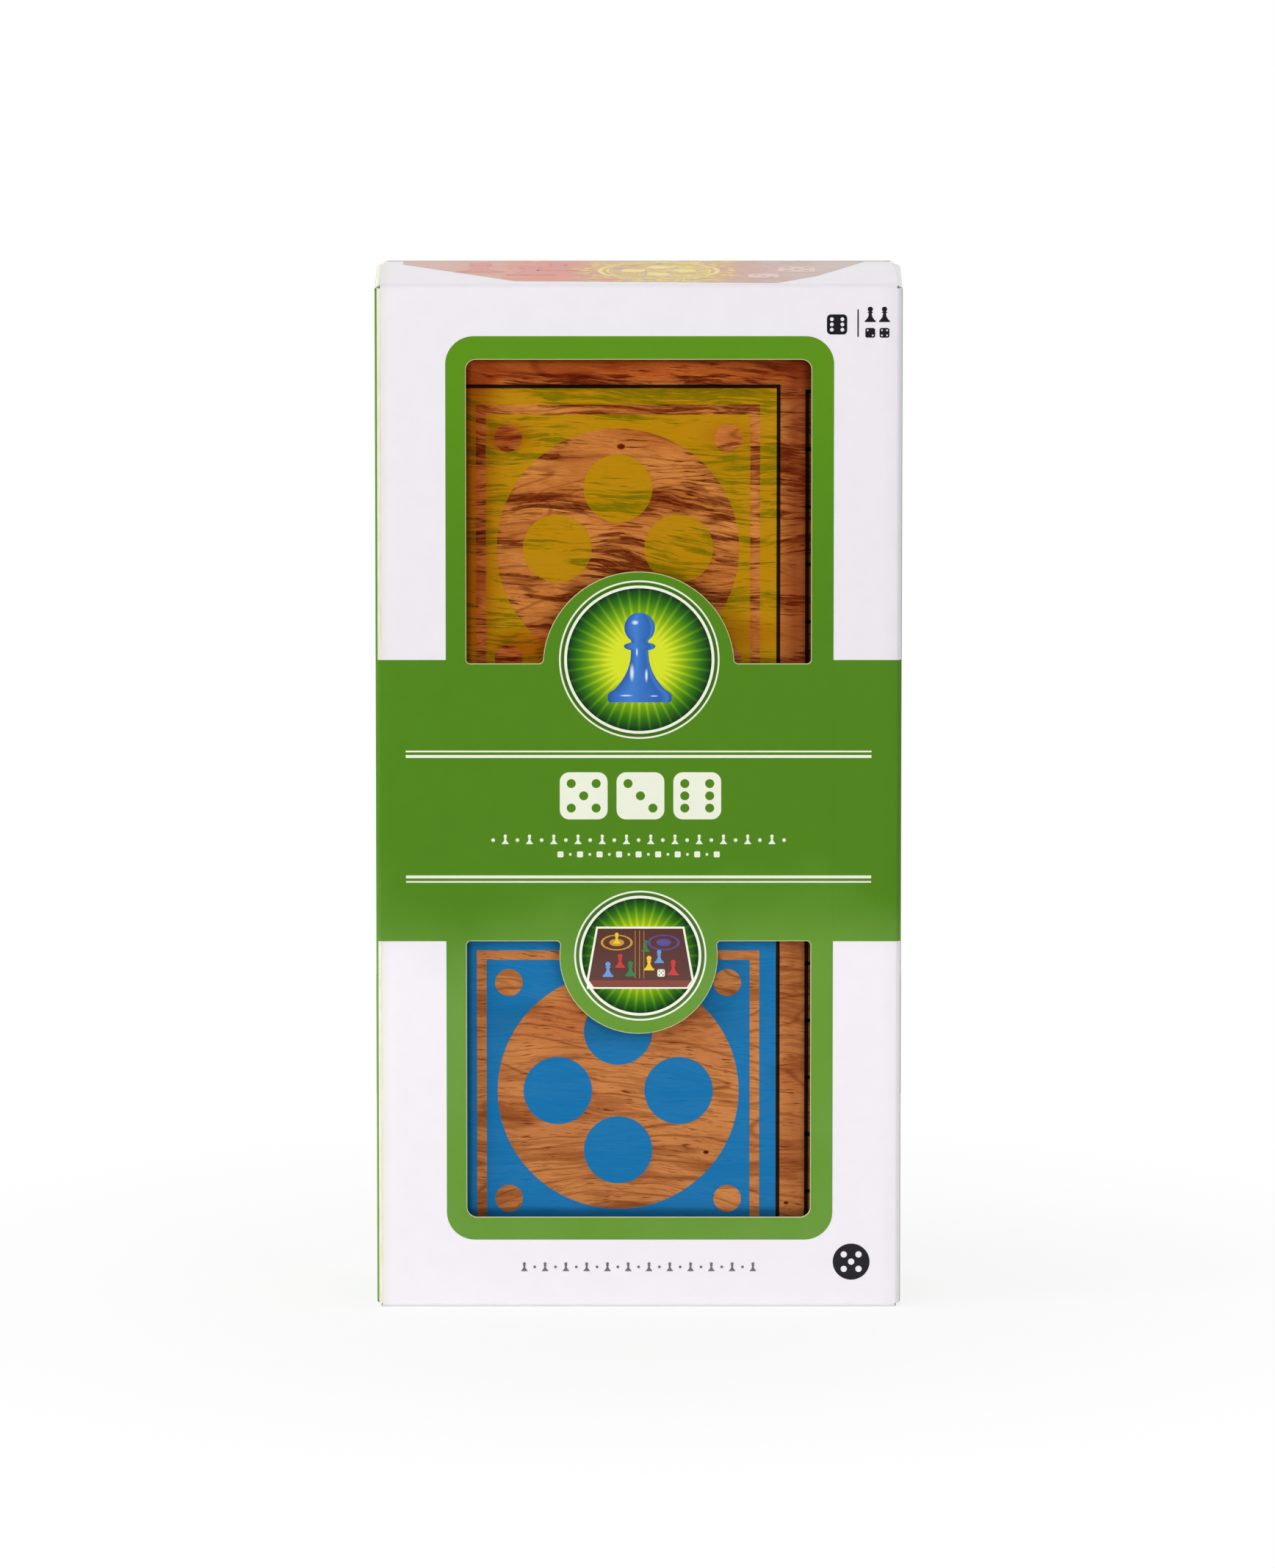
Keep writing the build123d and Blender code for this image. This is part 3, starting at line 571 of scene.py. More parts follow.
def finish_veneer(material, base, relief_strength, height):
    """Ends a material of the case's faces under their satin varnish, and returns it.

    Painted shadow of the windows' edges darkens it towards the upper left, along the top strip and just
    inside each window's edges; darker patches lie in it as well.
    """
    tree = material.node_tree
    where, x, _, z = position(tree)
    # painted shadow of the upper window's left edge over the wood's upper left, and of its top edge along the
    # top strip
    near = add(tree, "MapRange", (x, -0.050, -0.038, 0.9, 0.0), interpolation_type="SMOOTHSTEP")
    upper = add(tree, "MapRange", (z, 0.185, 0.2, 0.0, 1.0))
    crown = add(tree, "MapRange", (z, 0.2745, 0.280, 0.0, 0.8))
    shadow_and_patches = add(tree, "Math", (near, upper, crown), operation="MULTIPLY_ADD")
    for *spot, depth in PATCHES:
        patch = nearness(tree, where, spot[:2], spot[2:], (1.2, 0.2), depth)
        shadow_and_patches = add(tree, "Math", (shadow_and_patches, patch), operation="MAXIMUM")
    deep = add(tree, "Mix", {0: 1.0, 6: base, 7: (0.72, 0.36, 0.26)}, data_type="RGBA", blend_type="MULTIPLY")
    toned = add(tree, "Mix", {0: shadow_and_patches, 6: base, 7: deep}, data_type="RGBA")
    level = 1.0
    # painted shadow just inside the windows' left and right edges, at the lower window's foot and at the
    # upper window's top
    for place, rubbed_and_shaded, unshaded in (
        (x, -0.0508, -0.0490), (x, 0.0508, 0.0478), (z, 0.0280, 0.0305), (z, 0.2852, 0.2835),
    ):
        edge = add(tree, "MapRange", (place, rubbed_and_shaded, unshaded, 0.55, 1.0), interpolation_type="SMOOTHSTEP")
        level = add(tree, "Math", (level, edge), operation="MULTIPLY")
    base = add(tree, "VectorMath", {0: toned, "Scale": level}, operation="SCALE")
    relief = add(tree, "Bump", {"Strength": relief_strength, "Distance": 0.05 * MM, "Height": height})
    return finish(material, base, 0.42, relief, WOOD_IOR)


def make_veneer():
    """Thin figured plywood under a satin varnish, which gives a low, even sheen over the grain."""
    material, tree = start("varnished_veneer")
    base, _, height = veneer_colour(tree)
    return finish_veneer(material, base, 0.15, height)


def make_screen_ink(name, ink, over_dark, cover):
    """Screen ink on veneer: the share of cover hides the wood, and its dark streaks tint what is left."""
    material, tree = start(name)
    wood, dark, height = veneer_colour(tree)
    soft = add(tree, "Math", (dark, 0.8), operation="MULTIPLY")
    inked = add(tree, "Mix", {0: soft, 6: ink, 7: linear(over_dark)}, data_type="RGBA")
    base = add(tree, "Mix", {0: cover, 6: wood, 7: inked}, data_type="RGBA")
    return finish_veneer(material, base, 0.12, height)


def make_rail_wood(name, size):
    """Solid softwood rail, planed and varnished: long straight grain along the rail."""
    look = bpy.context.scene.wood_finish
    material, tree = start(name)
    grain = cells(tree, size, detail=4, roughness=0.6, distortion=0.2)
    share = add(tree, "MapRange", (grain, 0.35, 0.65, 0, 1))
    base = add(tree, "Mix", {0: share, 6: linear("#8A5226"), 7: look.rail}, data_type="RGBA")
    relief = add(tree, "Bump", {"Strength": 0.2, "Distance": 0.05 * MM, "Height": grain})
    return finish(material, base, 0.45, relief, WOOD_IOR)


def make_metal(name, code, roughness, size):
    """Plated or drawn metal: its reflection is broken by fine brushing of the given cell size."""
    material, tree = start(name)
    brushing = cells(tree, size)
    rough = add(tree, "MapRange", (brushing, 0.3, 0.7, roughness * 0.8, roughness * 1.25))
    relief = add(tree, "Bump", {"Strength": 0.05, "Distance": 0.02 * MM, "Height": brushing})
    return finish(material, linear(code), rough, relief, metallic=1.0)


def make_moulded(name, code):
    """Injection-moulded polystyrene: full colour, a clear gloss and the faintest waviness."""
    material, tree = start(name)
    ripple = cells(tree, (4, 4, 4), detail=1)
    paler = add(tree, "MapRange", (ripple, 0.3, 0.7, 0, 0.08))
    base = add(tree, "Mix", {0: paler, 6: linear(code), 7: (1, 1, 1)}, data_type="RGBA")
    relief = add(tree, "Bump", {"Strength": 0.05, "Distance": 0.05 * MM, "Height": ripple})
    return finish(material, base, 0.22, relief, ior=1.59)


def dress(names, material):
    """Gives CAD nodes a material."""
    for name in names:
        slots = NODES[name].data.materials
        for index in range(len(slots)):
            slots[index] = material


# ---------------------------------------------------------------- flat shapes, in millimetres
def disc(u, v, radius, steps=96, squeeze=1.0):
    """Outline of a circle, or of an ellipse whose height is squeezed."""
    turns = [math.tau * k / steps for k in range(steps)]
    return [(u + radius * math.cos(a), v + squeeze * radius * math.sin(a)) for a in turns]


def ring(u, v, radius, width, squeeze=1.0):
    """A circle's line of a given width."""
    return [disc(u, v, radius + width / 2, 128, squeeze), disc(u, v, radius - width / 2, 128, squeeze)]


def box_outline(u0, v0, u1, v1):
    """Outline of a rectangle from two corners."""
    return [(u0, v0), (u1, v0), (u1, v1), (u0, v1)]


def sweep(centre, radius, start, end, steps=12):
    """Points along an arc between two angles in degrees."""
    turns = [math.radians(start + (end - start) * k / steps) for k in range(steps + 1)]
    return [(centre[0] + radius * math.cos(a), centre[1] + radius * math.sin(a)) for a in turns]


def rounded(u0, v0, u1, v1, radius, steps=16):
    """Outline of a rectangle with rounded corners."""
    points = []
    for index, middle in enumerate(box_outline(u0 + radius, v0 + radius, u1 - radius, v1 - radius)):
        points += sweep(middle, radius, 180 + 90 * index, 270 + 90 * index, steps)
    return points


PIPS = {
    1: ((0, 0),), 2: ((-1, 1), (1, -1)), 3: ((-1, 1), (0, 0), (1, -1)),
    4: ((-1, -1), (-1, 1), (1, -1), (1, 1)), 5: ((-1, -1), (-1, 1), (0, 0), (1, -1), (1, 1)),
    6: ((-1, -1), (-1, 0), (-1, 1), (1, -1), (1, 0), (1, 1)),
}


def die_face(u, v, side, pips):
    """A die's face: a rounded square with its pips as holes."""
    half, gap = side / 2, side * 0.26
    holes = [disc(u + gap * a, v + gap * b, side * 0.095, 24) for a, b in PIPS[pips]]
    return [rounded(u - half, v - half, u + half, v + half, side * 0.2, 8), *holes]


def man_profile():
    """Half width and height of a turned man, from foot to crown, in shares of his height."""
    foot = [(0.335, 0.0), (0.35, 0.018), (0.35, 0.085), (0.33, 0.11), (0.285, 0.135)]
    body = [(0.095 + 0.175 * (1 - t / 8) ** 2.3, 0.15 + 0.43 * t / 8) for t in range(9)]
    collar = [(0.15, 0.597), (0.172, 0.615), (0.172, 0.635), (0.15, 0.652), (0.092, 0.668)]
    middle, radius = 0.832, 0.168
    turns = [math.radians(a) for a in range(34, 181, 10)]
    head = [(radius * math.sin(a), middle - radius * math.cos(a)) for a in turns]
    return foot + body + collar + head


MAN = man_profile()


def man(u, v, height):
    """Side view of a turned man standing at (u, v)."""
    right = [(u + x * height, v + y * height) for x, y in MAN]
    return right + [(2 * u - x, y) for x, y in reversed(right)]


def window_outline(half, along, away, bay, bay_radius, grow):
    """One window of the front wall, grown on all sides: along is its edge on the band, away the other one.

    A round bay reaches into it from the band, and its corners are rounded, more so away from the band.
    """
    up = 1 if away > along else -1
    small, large = 1.2 + grow, 3.0 + grow
    half, along, away, bay_radius = half + grow, along - up * grow, away + up * grow, bay_radius - grow
    rise = up * (along + up * small - bay)
    joint = math.sqrt((bay_radius + small) ** 2 - rise**2)
    lean = math.degrees(math.atan2(rise, joint))
    level = up * along
    right = sweep((0, up * bay), bay_radius, 90, lean, 40)
    right += sweep((joint, level + small), small, 180 + lean, 270)
    right += sweep((half - small, level + small), small, -90, 0)
    right += sweep((half - large, up * away - large), large, 0, 90)
    points = right + [(-u, v) for u, v in reversed(right)]
    return [(u, up * v) for u, v in points[:-1]]


def inside(point, loops):
    """Whether a point lies within an outline and outside its holes."""
    odd = False
    for loop in loops:
        for (u0, v0), (u1, v1) in zip(loop, loop[1:] + loop[:1]):
            if (v0 > point.y) != (v1 > point.y) and point.x < u0 + (u1 - u0) * (point.y - v0) / (v1 - v0):
                odd = not odd
    return odd


ROOT = "carton_and_case"
INK = 0.04  # millimetres that each layer of print stands off the one below


def lay(name, patches, plane, layer, material, body=ROOT):
    """Lays flat print on a face of the object, layer times the ink's thickness off it.

    Each patch is an outline and its holes. plane is (axis, place, sign): the face lies across that axis
    at that place, in millimetres, and looks along sign.
    """
    axis, place, sign = plane
    points, faces = [], []
    for patch in patches:
        corners = [Vector(corner) for loop in patch for corner in loop]
        borders, first = [], 0
        for loop in patch:
            borders += [(first + k, first + (k + 1) % len(loop)) for k in range(len(loop))]
            first += len(loop)
        found, _, triangles = delaunay_2d_cdt(corners, borders, [], 0, 1e-5, False)[:3]
        for triangle in triangles:
            a, b, c = (found[k] for k in triangle)
            if inside((a + b + c) / 3, patch):
                turned = (b - a).cross(c - a) < 0
                faces.append([len(points) + k for k in (triangle[::-1] if turned else triangle)])
        points += found
    across = "XYZ".index(axis)
    vertices = [[p.x * MM, p.y * MM] for p in points]
    for vertex in vertices:
        vertex.insert(across, (place + sign * layer * INK) * MM)
    if (sign > 0) == (axis == "Y"):
        faces = [face[::-1] for face in faces]
    mesh = bpy.data.meshes.new(name)
    mesh.from_pydata(vertices, [], faces)
    mesh.materials.append(material)
    piece = bpy.data.objects.new(name, mesh)
    bpy.context.collection.objects.link(piece)
    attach(piece, body)


FRONT = ("Y", CAD_BOX[0][1] / MM, -1)
BACK = ("Y", CAD_BOX[1][1] / MM, 1)
LID = ("Z", CAD_BOX[1][2] / MM, 1)
LEFT = ("X", CAD_BOX[0][0] / MM, -1)
RIGHT = ("X", CAD_BOX[1][0] / MM, 1)
UPPER_MEDALLION, LOWER_MEDALLION = (0.2, 195.8), (0.5, 106.6)
# the windows as cut: half width, edge on the band, far edge, middle of the band's bay and its radius
UPPER_WINDOW, LOWER_WINDOW = (51.1, 194.6, 285.6, 193.8, 28.4), (51.1, 111.0, 27.4, 106.5, 23.5)
TITLE_LEVEL, TITLE_DIE = 154.85, 14.2  # middle and side of the dice in the title's place
BACK_PITCH = 34  # spacing of the men and dice at the foot of the back
# colours of the streaked pictures, from one end to the other
LID_STOPS = (
    (0.0, "#DDB5A8"), (0.2, "#DEA08D"), (0.30, "#EA8B7B"), (0.40, "#D1A08C"), (0.48, "#EACF63"),
    (0.52, "#BD9CA3"), (0.58, "#F0DF7C"), (0.66, "#DDB66B"), (0.74, "#D0A399"), (0.88, "#D4B7AE"),
    (1.0, "#D0C2BC"),
)
SIDE_STOPS = (
    (0.0, "#8A4A2E"), (0.18, "#2F6A3A"), (0.30, "#6FAE8A"), (0.40, "#201A12"), (0.50, "#B06A58"),
    (0.62, "#2A2A2A"), (0.72, "#7FB08A"), (0.84, "#7A4038"), (1.0, "#8E3A30"),
)


def alternate(reach, pitch, odd, even):
    """A row of marks with reach of them to each side of the middle; odd and even draw the mark at a place."""
    return [[(odd if k % 2 else even)(k * pitch)] for k in range(-reach, reach + 1)]


# ---------------------------------------------------------------- operators
class LUDO_OT_carton(bpy.types.Operator):
    """Prints the carton: band, window frames, rules, medallions, ornaments and pictures"""

    bl_idname = "ludo.carton"
    bl_label = "Carton"

    def execute(self, context):
        look = context.scene.carton_print
        dress(CARTON_WALLS + CARTON_ENDS, make_carton_board())
        green = make_frame_print("offset_green", look.green, look.shaded_green)
        white = make_print("coated_white", linear("#EEF0DE"))
        # the black ink takes a fifth of the painted reflection's haze
        black = make_print("offset_black", look.black, painted_haze_share=0.2)
        grey = make_print("offset_grey", look.grey)
        gold = make_print("offset_lid_gold", linear("#EFD262"))

        half, corner = look.frame_side / MM, look.frame_corner / MM
        shift = look.print_shift / MM
        cut = 0.2  # the print stops short of the cut, where the knife has lifted the coating
        holes = [window_outline(*window, cut) for window in (UPPER_WINDOW, LOWER_WINDOW)]
        frame_shape = rounded(shift - half, look.frame_low / MM, shift + half, look.frame_high / MM, corner)
        lay("window_frame_print", [[frame_shape, *holes]], FRONT, 1, green)
        # double rules above and below the title, on the front and the back
        reach = look.rule_reach / MM
        rules = [
            [box_outline(-reach, level - width / 2, reach, level + width / 2)]
            for level, width in ((168.2, 0.5), (166.7, 0.9), (130.4, 0.9), (128.9, 0.5))
        ]
        self.back(rules, black, grey, white)
        self.front(rules, white)
        self.upper_medallion()
        self.lower_medallion(white)
        self.marks(black, grey)
        self.lid(gold)
        self.sides(gold, white)
        return {"FINISHED"}

    def front(self, rules, white):
        """White rules and rings, a row of dice in the title's place, and rows of marks in place of words."""
        olive = make_print("offset_olive", linear("#3A6416"))
        pieces = list(rules)
        for middle, thin, thick in ((UPPER_MEDALLION, 23.55, 21.85), (LOWER_MEDALLION, 19.4, 17.75)):
            pieces += [ring(*middle, thin, 0.5), ring(*middle, thick, 0.85)]
            between = ring(*middle, (thin + thick) / 2 - 0.05, 0.75)
            lay(f"olive_ring_{thin:.0f}_print", [between], FRONT, 2, olive)
        for place, pips in ((-16.3, 5), (0.55, 3), (17.4, 6)):
            pieces.append(die_face(place, TITLE_LEVEL, TITLE_DIE, pips))
        pieces += alternate(12, 3.6, lambda u: man(u, 140.3, 2.9), lambda u: disc(u, 141.5, 0.55, 20))
        pieces += alternate(
            8, 2.9, lambda u: disc(u, 137.2, 0.42, 20), lambda u: rounded(u - 0.9, 136.3, u + 0.9, 138.1, 0.4)
        )
        lay("white_rules_print", pieces, FRONT, 2, white)

    def upper_medallion(self):
        """A blue man on a burst of rays."""
        burst = make_burst("offset_burst", UPPER_MEDALLION, 21.5, 40)
        lay("upper_burst_print", [[disc(*UPPER_MEDALLION, 21.45)]], FRONT, 2, burst)
        foot, tall = (0.3, 183.0), 26.9
        figure = make_shaded_man("offset_shaded_blue", foot, tall, MAN)
        lay("blue_man_print", [[man(*foot, tall)]], FRONT, 3, figure)

    def lower_medallion(self, white):
        """A brown board on a burst of rays, seen slightly from above, with men and a die standing on it."""
        burst = make_burst("offset_small_burst", LOWER_MEDALLION, 17.4, 34)
        lay("lower_burst_print", [[disc(*LOWER_MEDALLION, 17.35)]], FRONT, 2, burst)
        codes = {
            "brown": "#4E1F16", "lip": "#7C3222", "gold": "#C8901A", "violet": "#51448E", "red": "#C42A22",
            "leaf": "#23763E", "sky": "#5E93D8", "sun": "#E8C422",
        }
        inks = {key: make_print("offset_" + key, linear(code)) for key, code in codes.items()}
        u, v = LOWER_MEDALLION

        def around(*corners):
            """An outline from corners given off the medallion's middle."""
            return [[(u + a, v + b) for a, b in corners]]

        rim = around((-15.9, -10.0), (14.2, -10.0), (15.9, -7.0), (13.1, 8.8), (-13.1, 8.8), (-15.9, -7.0))
        board = around((-15.3, -7.4), (15.3, -7.4), (12.6, 8.2), (-12.6, 8.2))
        lip = around((-13.8, -9.5), (13.8, -9.5), (15.3, -7.4), (-15.3, -7.4))
        lay("lower_rim_print", [rim], FRONT, 2.5, white)
        lay("lower_board_print", [board], FRONT, 3, inks["brown"])
        lay("lower_lip_print", [lip], FRONT, 3, inks["lip"])
        golden, purple = (
            [ring(u + side * 7.0, v + 4.0, 4.4, 0.7, 0.5), [disc(u + side * 7.0, v + 4.0, 2.2, 40, 0.5)]]
            for side in (-1, 1)
        )
        golden += [around((a, -6.8), (a + 0.15, -6.8), (a + 0.15, 7.6), (a, 7.6)) for a in (-1.6, -0.3, 1.0)]
        lay("lower_gold_print", golden, FRONT, 4, inks["gold"])
        lay("lower_violet_print", purple, FRONT, 4, inks["violet"])
        places = {
            "sky": ((-9.6, -6.4, 4.6), (5.6, -2.2, 4.0)), "red": ((-6.0, -3.6, 4.2), (9.8, -5.9, 4.7)),
            "leaf": ((-2.9, -6.2, 4.6), (1.6, 1.2, 3.6)), "sun": ((2.6, -4.4, 4.4), (-7.0, 3.6, 3.4)),
        }
        for key, spots in places.items():
            men = [[man(u + a, v + b, tall)] for a, b, tall in spots]
            lay(f"lower_men_{key}_print", men, FRONT, 5, inks[key])
        lay("lower_die_print", [die_face(u + 6.2, v - 5.2, 2.2, 5)], FRONT, 5, white)

    def marks(self, black, grey):
        """Dark icons at the top, the dark badge below, and the small grey row beside it."""
        pieces = [die_face(58.6, 296.1, 6.0, 6), [box_outline(64.6, 292.4, 65.0, 300.6)]]
        pieces += [[man(68.4, 296.8, 4.6)], [man(72.6, 296.8, 4.6)]]
        pieces += [die_face(68.4, 293.6, 2.9, 2), die_face(72.6, 293.6, 2.9, 4)]
        u, v = 63.4, 13.8
        pieces.append([disc(u, v, 5.5, 64), *(disc(u + 2.2 * a, v + 2.2 * b, 0.95, 24) for a, b in PIPS[5])])
        lay("black_icons_print", pieces, FRONT, 1, black)
        row = alternate(11, 3.1, lambda u: man(u, 10.9, 2.7), lambda u: disc(u, 12.2, 0.42, 20))
        lay("grey_row_print", row, FRONT, 1, grey)

    def lid(self, gold):
        """A soft picture on the lid, with a ring and spots, men and dice."""
        picture = make_streaky_picture("offset_lid_picture", "X", -62, 62, LID_STOPS, (9, 4, 4))
        outline = [(-36.8, -18.5), (2.3, -20.6), (40.8, -22.6), (52.5, -8), (67.6, 24.4)]
        outline += [(-70.2, 24.4), (-70.2, 17.5)]
        lay("lid_picture_print", [[outline]], LID, 1, picture, "top_lid")
        u, v = 6, 3
        field = [ring(u, v, 17.5, 1.4), ring(u, v, 15.2, 0.7)]
        field += [[disc(u + 7.6 * a, v + 7.6 * b, 3.6, 48)] for a, b in ((1, 0), (0, 1), (-1, 0), (0, -1))]
        turns = [math.tau * k / 24 for k in range(24)]
        field += [[disc(u + 22 * math.cos(a), v + 19.6 * math.sin(a), 0.9, 20)] for a in turns]
        men = [[man(-47, 0, 21)], [man(-32, -6, 21)], [man(-24, 3, 18)]]
        dice = [die_face(37, -8, 9, 3), die_face(47, 6, 11, 5)]
        deep = make_print("offset_lid_red", linear("#C66656"))
        pale = make_print("offset_lid_sand", linear("#DBBBB0"))
        for key, pieces, ink in (("gold", field, gold), ("men", men, deep), ("dice", dice, pale)):
            lay(f"lid_{key}_print", pieces, LID, 2, ink, "top_lid")

    def sides(self, gold, white):
        """A soft picture with three men and a column of dice on each side wall."""
        foot, top = 64, 100.7
        picture = make_streaky_picture("offset_side_picture", "Z", top, foot, SIDE_STOPS, (6, 6, 5), 0.1)
        men = [[man(-15.6, 71.5, 18)], [man(-2.15, 75, 18)], [man(11.3, 71.5, 18)]]
        dice = [die_face(0, TITLE_LEVEL + 18 * k, TITLE_DIE, pips) for k, pips in ((-1, 6), (0, 3), (1, 5))]
        for side, plane in (("left", LEFT), ("right", RIGHT)):
            lay(f"{side}_picture_print", [[rounded(-24.3, foot, 20, top, 2)]], plane, 1, picture)
            lay(f"{side}_men_print", men, plane, 2, gold)
            lay(f"{side}_dice_print", dice, plane, 1, white)

    def back(self, rules, black, grey, white):
        """Rules, dice and rows as on the front, a whole ludo board above, and men and dice below."""
        title = [die_face(u, TITLE_LEVEL, TITLE_DIE, pips) for u, pips in ((-16.9, 6), (0, 3), (16.9, 5))]
        lay("back_rules_print", rules + title, BACK, 1, white)
        self.back_board(black)
        dice = [die_face(BACK_PITCH * k, 45.5, 9.5, pips) for k, pips in ((-1, 4), (0, 1), (1, 5))]
        lay("back_dice_print", dice, BACK, 1, black)
        rows = []
        for level, reach in ((30, 19), (25.4, 17), (20.8, 13)):
            rows += alternate(
                reach, 3.1, lambda u: disc(u, level, 0.42, 20),
                lambda u: rounded(u - 1.0, level - 0.9, u + 1.0, level + 0.9, 0.4),
            )
        lay("back_rows_print", rows, BACK, 1, grey)
        small = alternate(12, 3.6, lambda u: disc(u, 141.5, 0.55, 20), lambda u: man(u, 140.3, 2.9))
        lay("back_small_row_print", small, BACK, 1, white)

    def back_board(self, black):
        """The back's ludo board, and a man of each of its colours below it."""
        codes = {"red": "#C42A22", "green": "#1E7F3C", "yellow": "#E0B010", "blue": "#1F6FB4"}
        u, v, cell, line = 0, 246, 6.0, 0.2

        def block(a, b, half, shrink=0.0):
            """A square around the point that lies a and b cells off the middle."""
            left, low, half = u + a * cell, v + b * cell, half * cell - shrink
            return box_outline(left - half, low - half, left + half, low + half)

        grid = [block(0, 0, 7.5, -2 * line), block(0, 0, 1.5, line)]
        for a in range(-7, 8):
            for b in range(-7, 8):
                if min(abs(a), abs(b)) < 2 <= max(abs(a), abs(b)):
                    grid.append(block(a, b, 0.5, line))
        near, far = 1.5 * cell - 2 * line, 1.5 * cell - line
        # each colour's base lies towards (a, b), and its home column towards (c, d)
        towards = (((-1, 1), (-1, 0)), ((1, 1), (0, 1)), ((1, -1), (1, 0)), ((-1, -1), (0, -1)))
        for place, (key, ((a, b), (c, d))) in enumerate(zip(codes, towards)):
            base = block(4.5 * a, 4.5 * b, 3, line)
            grid.append(base)
            base_u, base_v, spread = u + 4.5 * a * cell, v + 4.5 * b * cell, 0.85 * cell
            patches = [[base, disc(base_u, base_v, 2.3 * cell)]]
            for e, f in ((1, 1), (-1, 1), (1, -1), (-1, -1)):
                patches.append([disc(base_u + spread * e, base_v + spread * f, 0.62 * cell, 48)])
            patches += [[block(c * k, d * k, 0.5, line)] for k in range(2, 7)]
            corners = [(u + c * far + d * near * k, v + d * far + c * near * k) for k in (1, -1)]
            patches.append([[(u + 2 * line * c, v + 2 * line * d), *corners]])
            patches.append([man(BACK_PITCH * (place - 1.5), 58, 27)])
            ink = make_print("offset_clear_" + key, linear(codes[key]))
            lay(f"back_{key}_print", patches, BACK, 2, ink)
        lay("back_grid_print", [grid], BACK, 1, black)


class LUDO_OT_board(bpy.types.Operator):
    """Finishes the case's two faces and prints half a ludo board on each"""

    bl_idname = "ludo.board"
    bl_label = "Board"

    def execute(self, context):
        look = context.scene.board_print
        dress(("front_board", "rear_board"), make_veneer())
        inks = {
            "yellow": make_screen_ink("screen_yellow", look.yellow, "#5E6600", 0.9),
            "blue": make_screen_ink("screen_blue", look.blue, "#046CA6", 0.97),
            "red": make_screen_ink("screen_red", look.red, "#6E160C", 0.95),
            "green": make_screen_ink("screen_green", look.green, "#144E1E", 0.96),
            "line": make_screen_ink("screen_black", look.line, "#050201", 0.97),
        }
        for name, sign, colours in (
            ("front_board", -1, ("yellow", "blue", "yellow")),
            ("rear_board", 1, ("red", "green", "green")),
        ):
            low, high = node_box(name)
            face = ("Y", low[1] if sign < 0 else high[1], sign)
            self.print_half(name, face, (high[0], (low[2] + high[2]) / 2), colours, inks)
        return {"FINISHED"}

    def print_half(self, name, face, fold, colours, inks):
        """Half a board: two bases, one whole arm and half of two others. fold is the hinged edge's middle."""
        by_ink = {key: [] for key in inks}
        self.bases(by_ink, fold, colours)
        self.track(by_ink["line"], by_ink[colours[2]], fold)
        for key, patches in by_ink.items():
            if patches:
                layer = 2 if key == "line" else 1
                lay(f"{name}_{key}_print", patches, face, layer, inks[key])

    def bases(self, by_ink, fold, colours):
        """Two bases: a square with a bare disc, four spots, a bare line and bare dots in its corners."""
        look = bpy.context.scene.board_print
        offset, half = look.base_offset / MM, look.base_half / MM
        stripe, wide = look.stripe_half / MM, look.stripe_width / MM / 2
        line = look.line_width / MM / 2

        def square(u, v, reach, tall):
            """A base's square, slightly taller than wide."""
            return box_outline(u - reach, v - reach - tall, u + reach, v + reach + tall)

        for sign, key, shift, tall in ((1, colours[0], 0.5, 1.0), (-1, colours[1], 0.2, 0.45)):
            u, v = fold[0] - offset, fold[1] + sign * offset + shift
            ink = by_ink[key]
            ink.append([square(u, v, half, tall), square(u, v, stripe + wide, tall)])
            reach, radius, signs = look.dot_reach / MM, look.dot_radius / MM, (-1, 1)
            dots = [disc(u + a * reach, v + b * (reach + tall / 2), radius, 48) for a in signs for b in signs]
            ink.append([square(u, v, stripe - wide, tall), disc(u, v, look.ring_radius / MM, 128), *dots])
            for a, b in ((0, 1), (1, 0), (0, -1), (-1, 0)):
                reach = look.spot_reach / MM
                ink.append([disc(u + a * reach, v + b * reach, look.spot_radius / MM, 64)])
            by_ink["line"].append([square(u, v, half + line, 1.0), square(u, v, half - line, 1.0)])

    def track(self, lines, home, fold):
        """The track's lines along three arms, and the home squares and the centre's triangle in their ink."""
        look = bpy.context.scene.board_print
        arm, line = look.arm_half / MM, look.line_width / MM / 2
        end = look.base_offset / MM + look.base_half / MM
        cell, third = (end - arm) / 6, arm / 3

        def block(a0, z0, a1, z1):
            """A rectangle from distances off the fold and heights above the middle."""
            return box_outline(fold[0] - a1, fold[1] + z0, fold[0] - a0, fold[1] + z1)

        # the whole arm, away from the fold
        for z in (-arm, -third, third, arm):
            lines.append([block(arm, z - line, end + line, z + line)])
        for k in range(7):
            lines.append([block(arm + k * cell - line, -arm - line, arm + k * cell + line, arm + line)])
        # half arms along the fold, up and down
        for sign in (1, -1):
            for a in (third, arm):
                z0, z1 = sorted((sign * arm, sign * end))
                lines.append([block(a - line, z0, a + line, z1)])
            for k in range(1, 7):
                z = sign * (arm + k * cell)
                lines.append([block(0, z - line, arm + line, z + line)])
        for k in range(5):
            near = arm + k * cell + line
            home.append([block(near, line - third, near + cell - 2 * line, third - line)])
        u, v = fold
        tip = [(u - arm + line, v - arm + 3 * line), (u - 2 * line, v), (u - arm + line, v + arm - 3 * line)]
        home.append([tip])


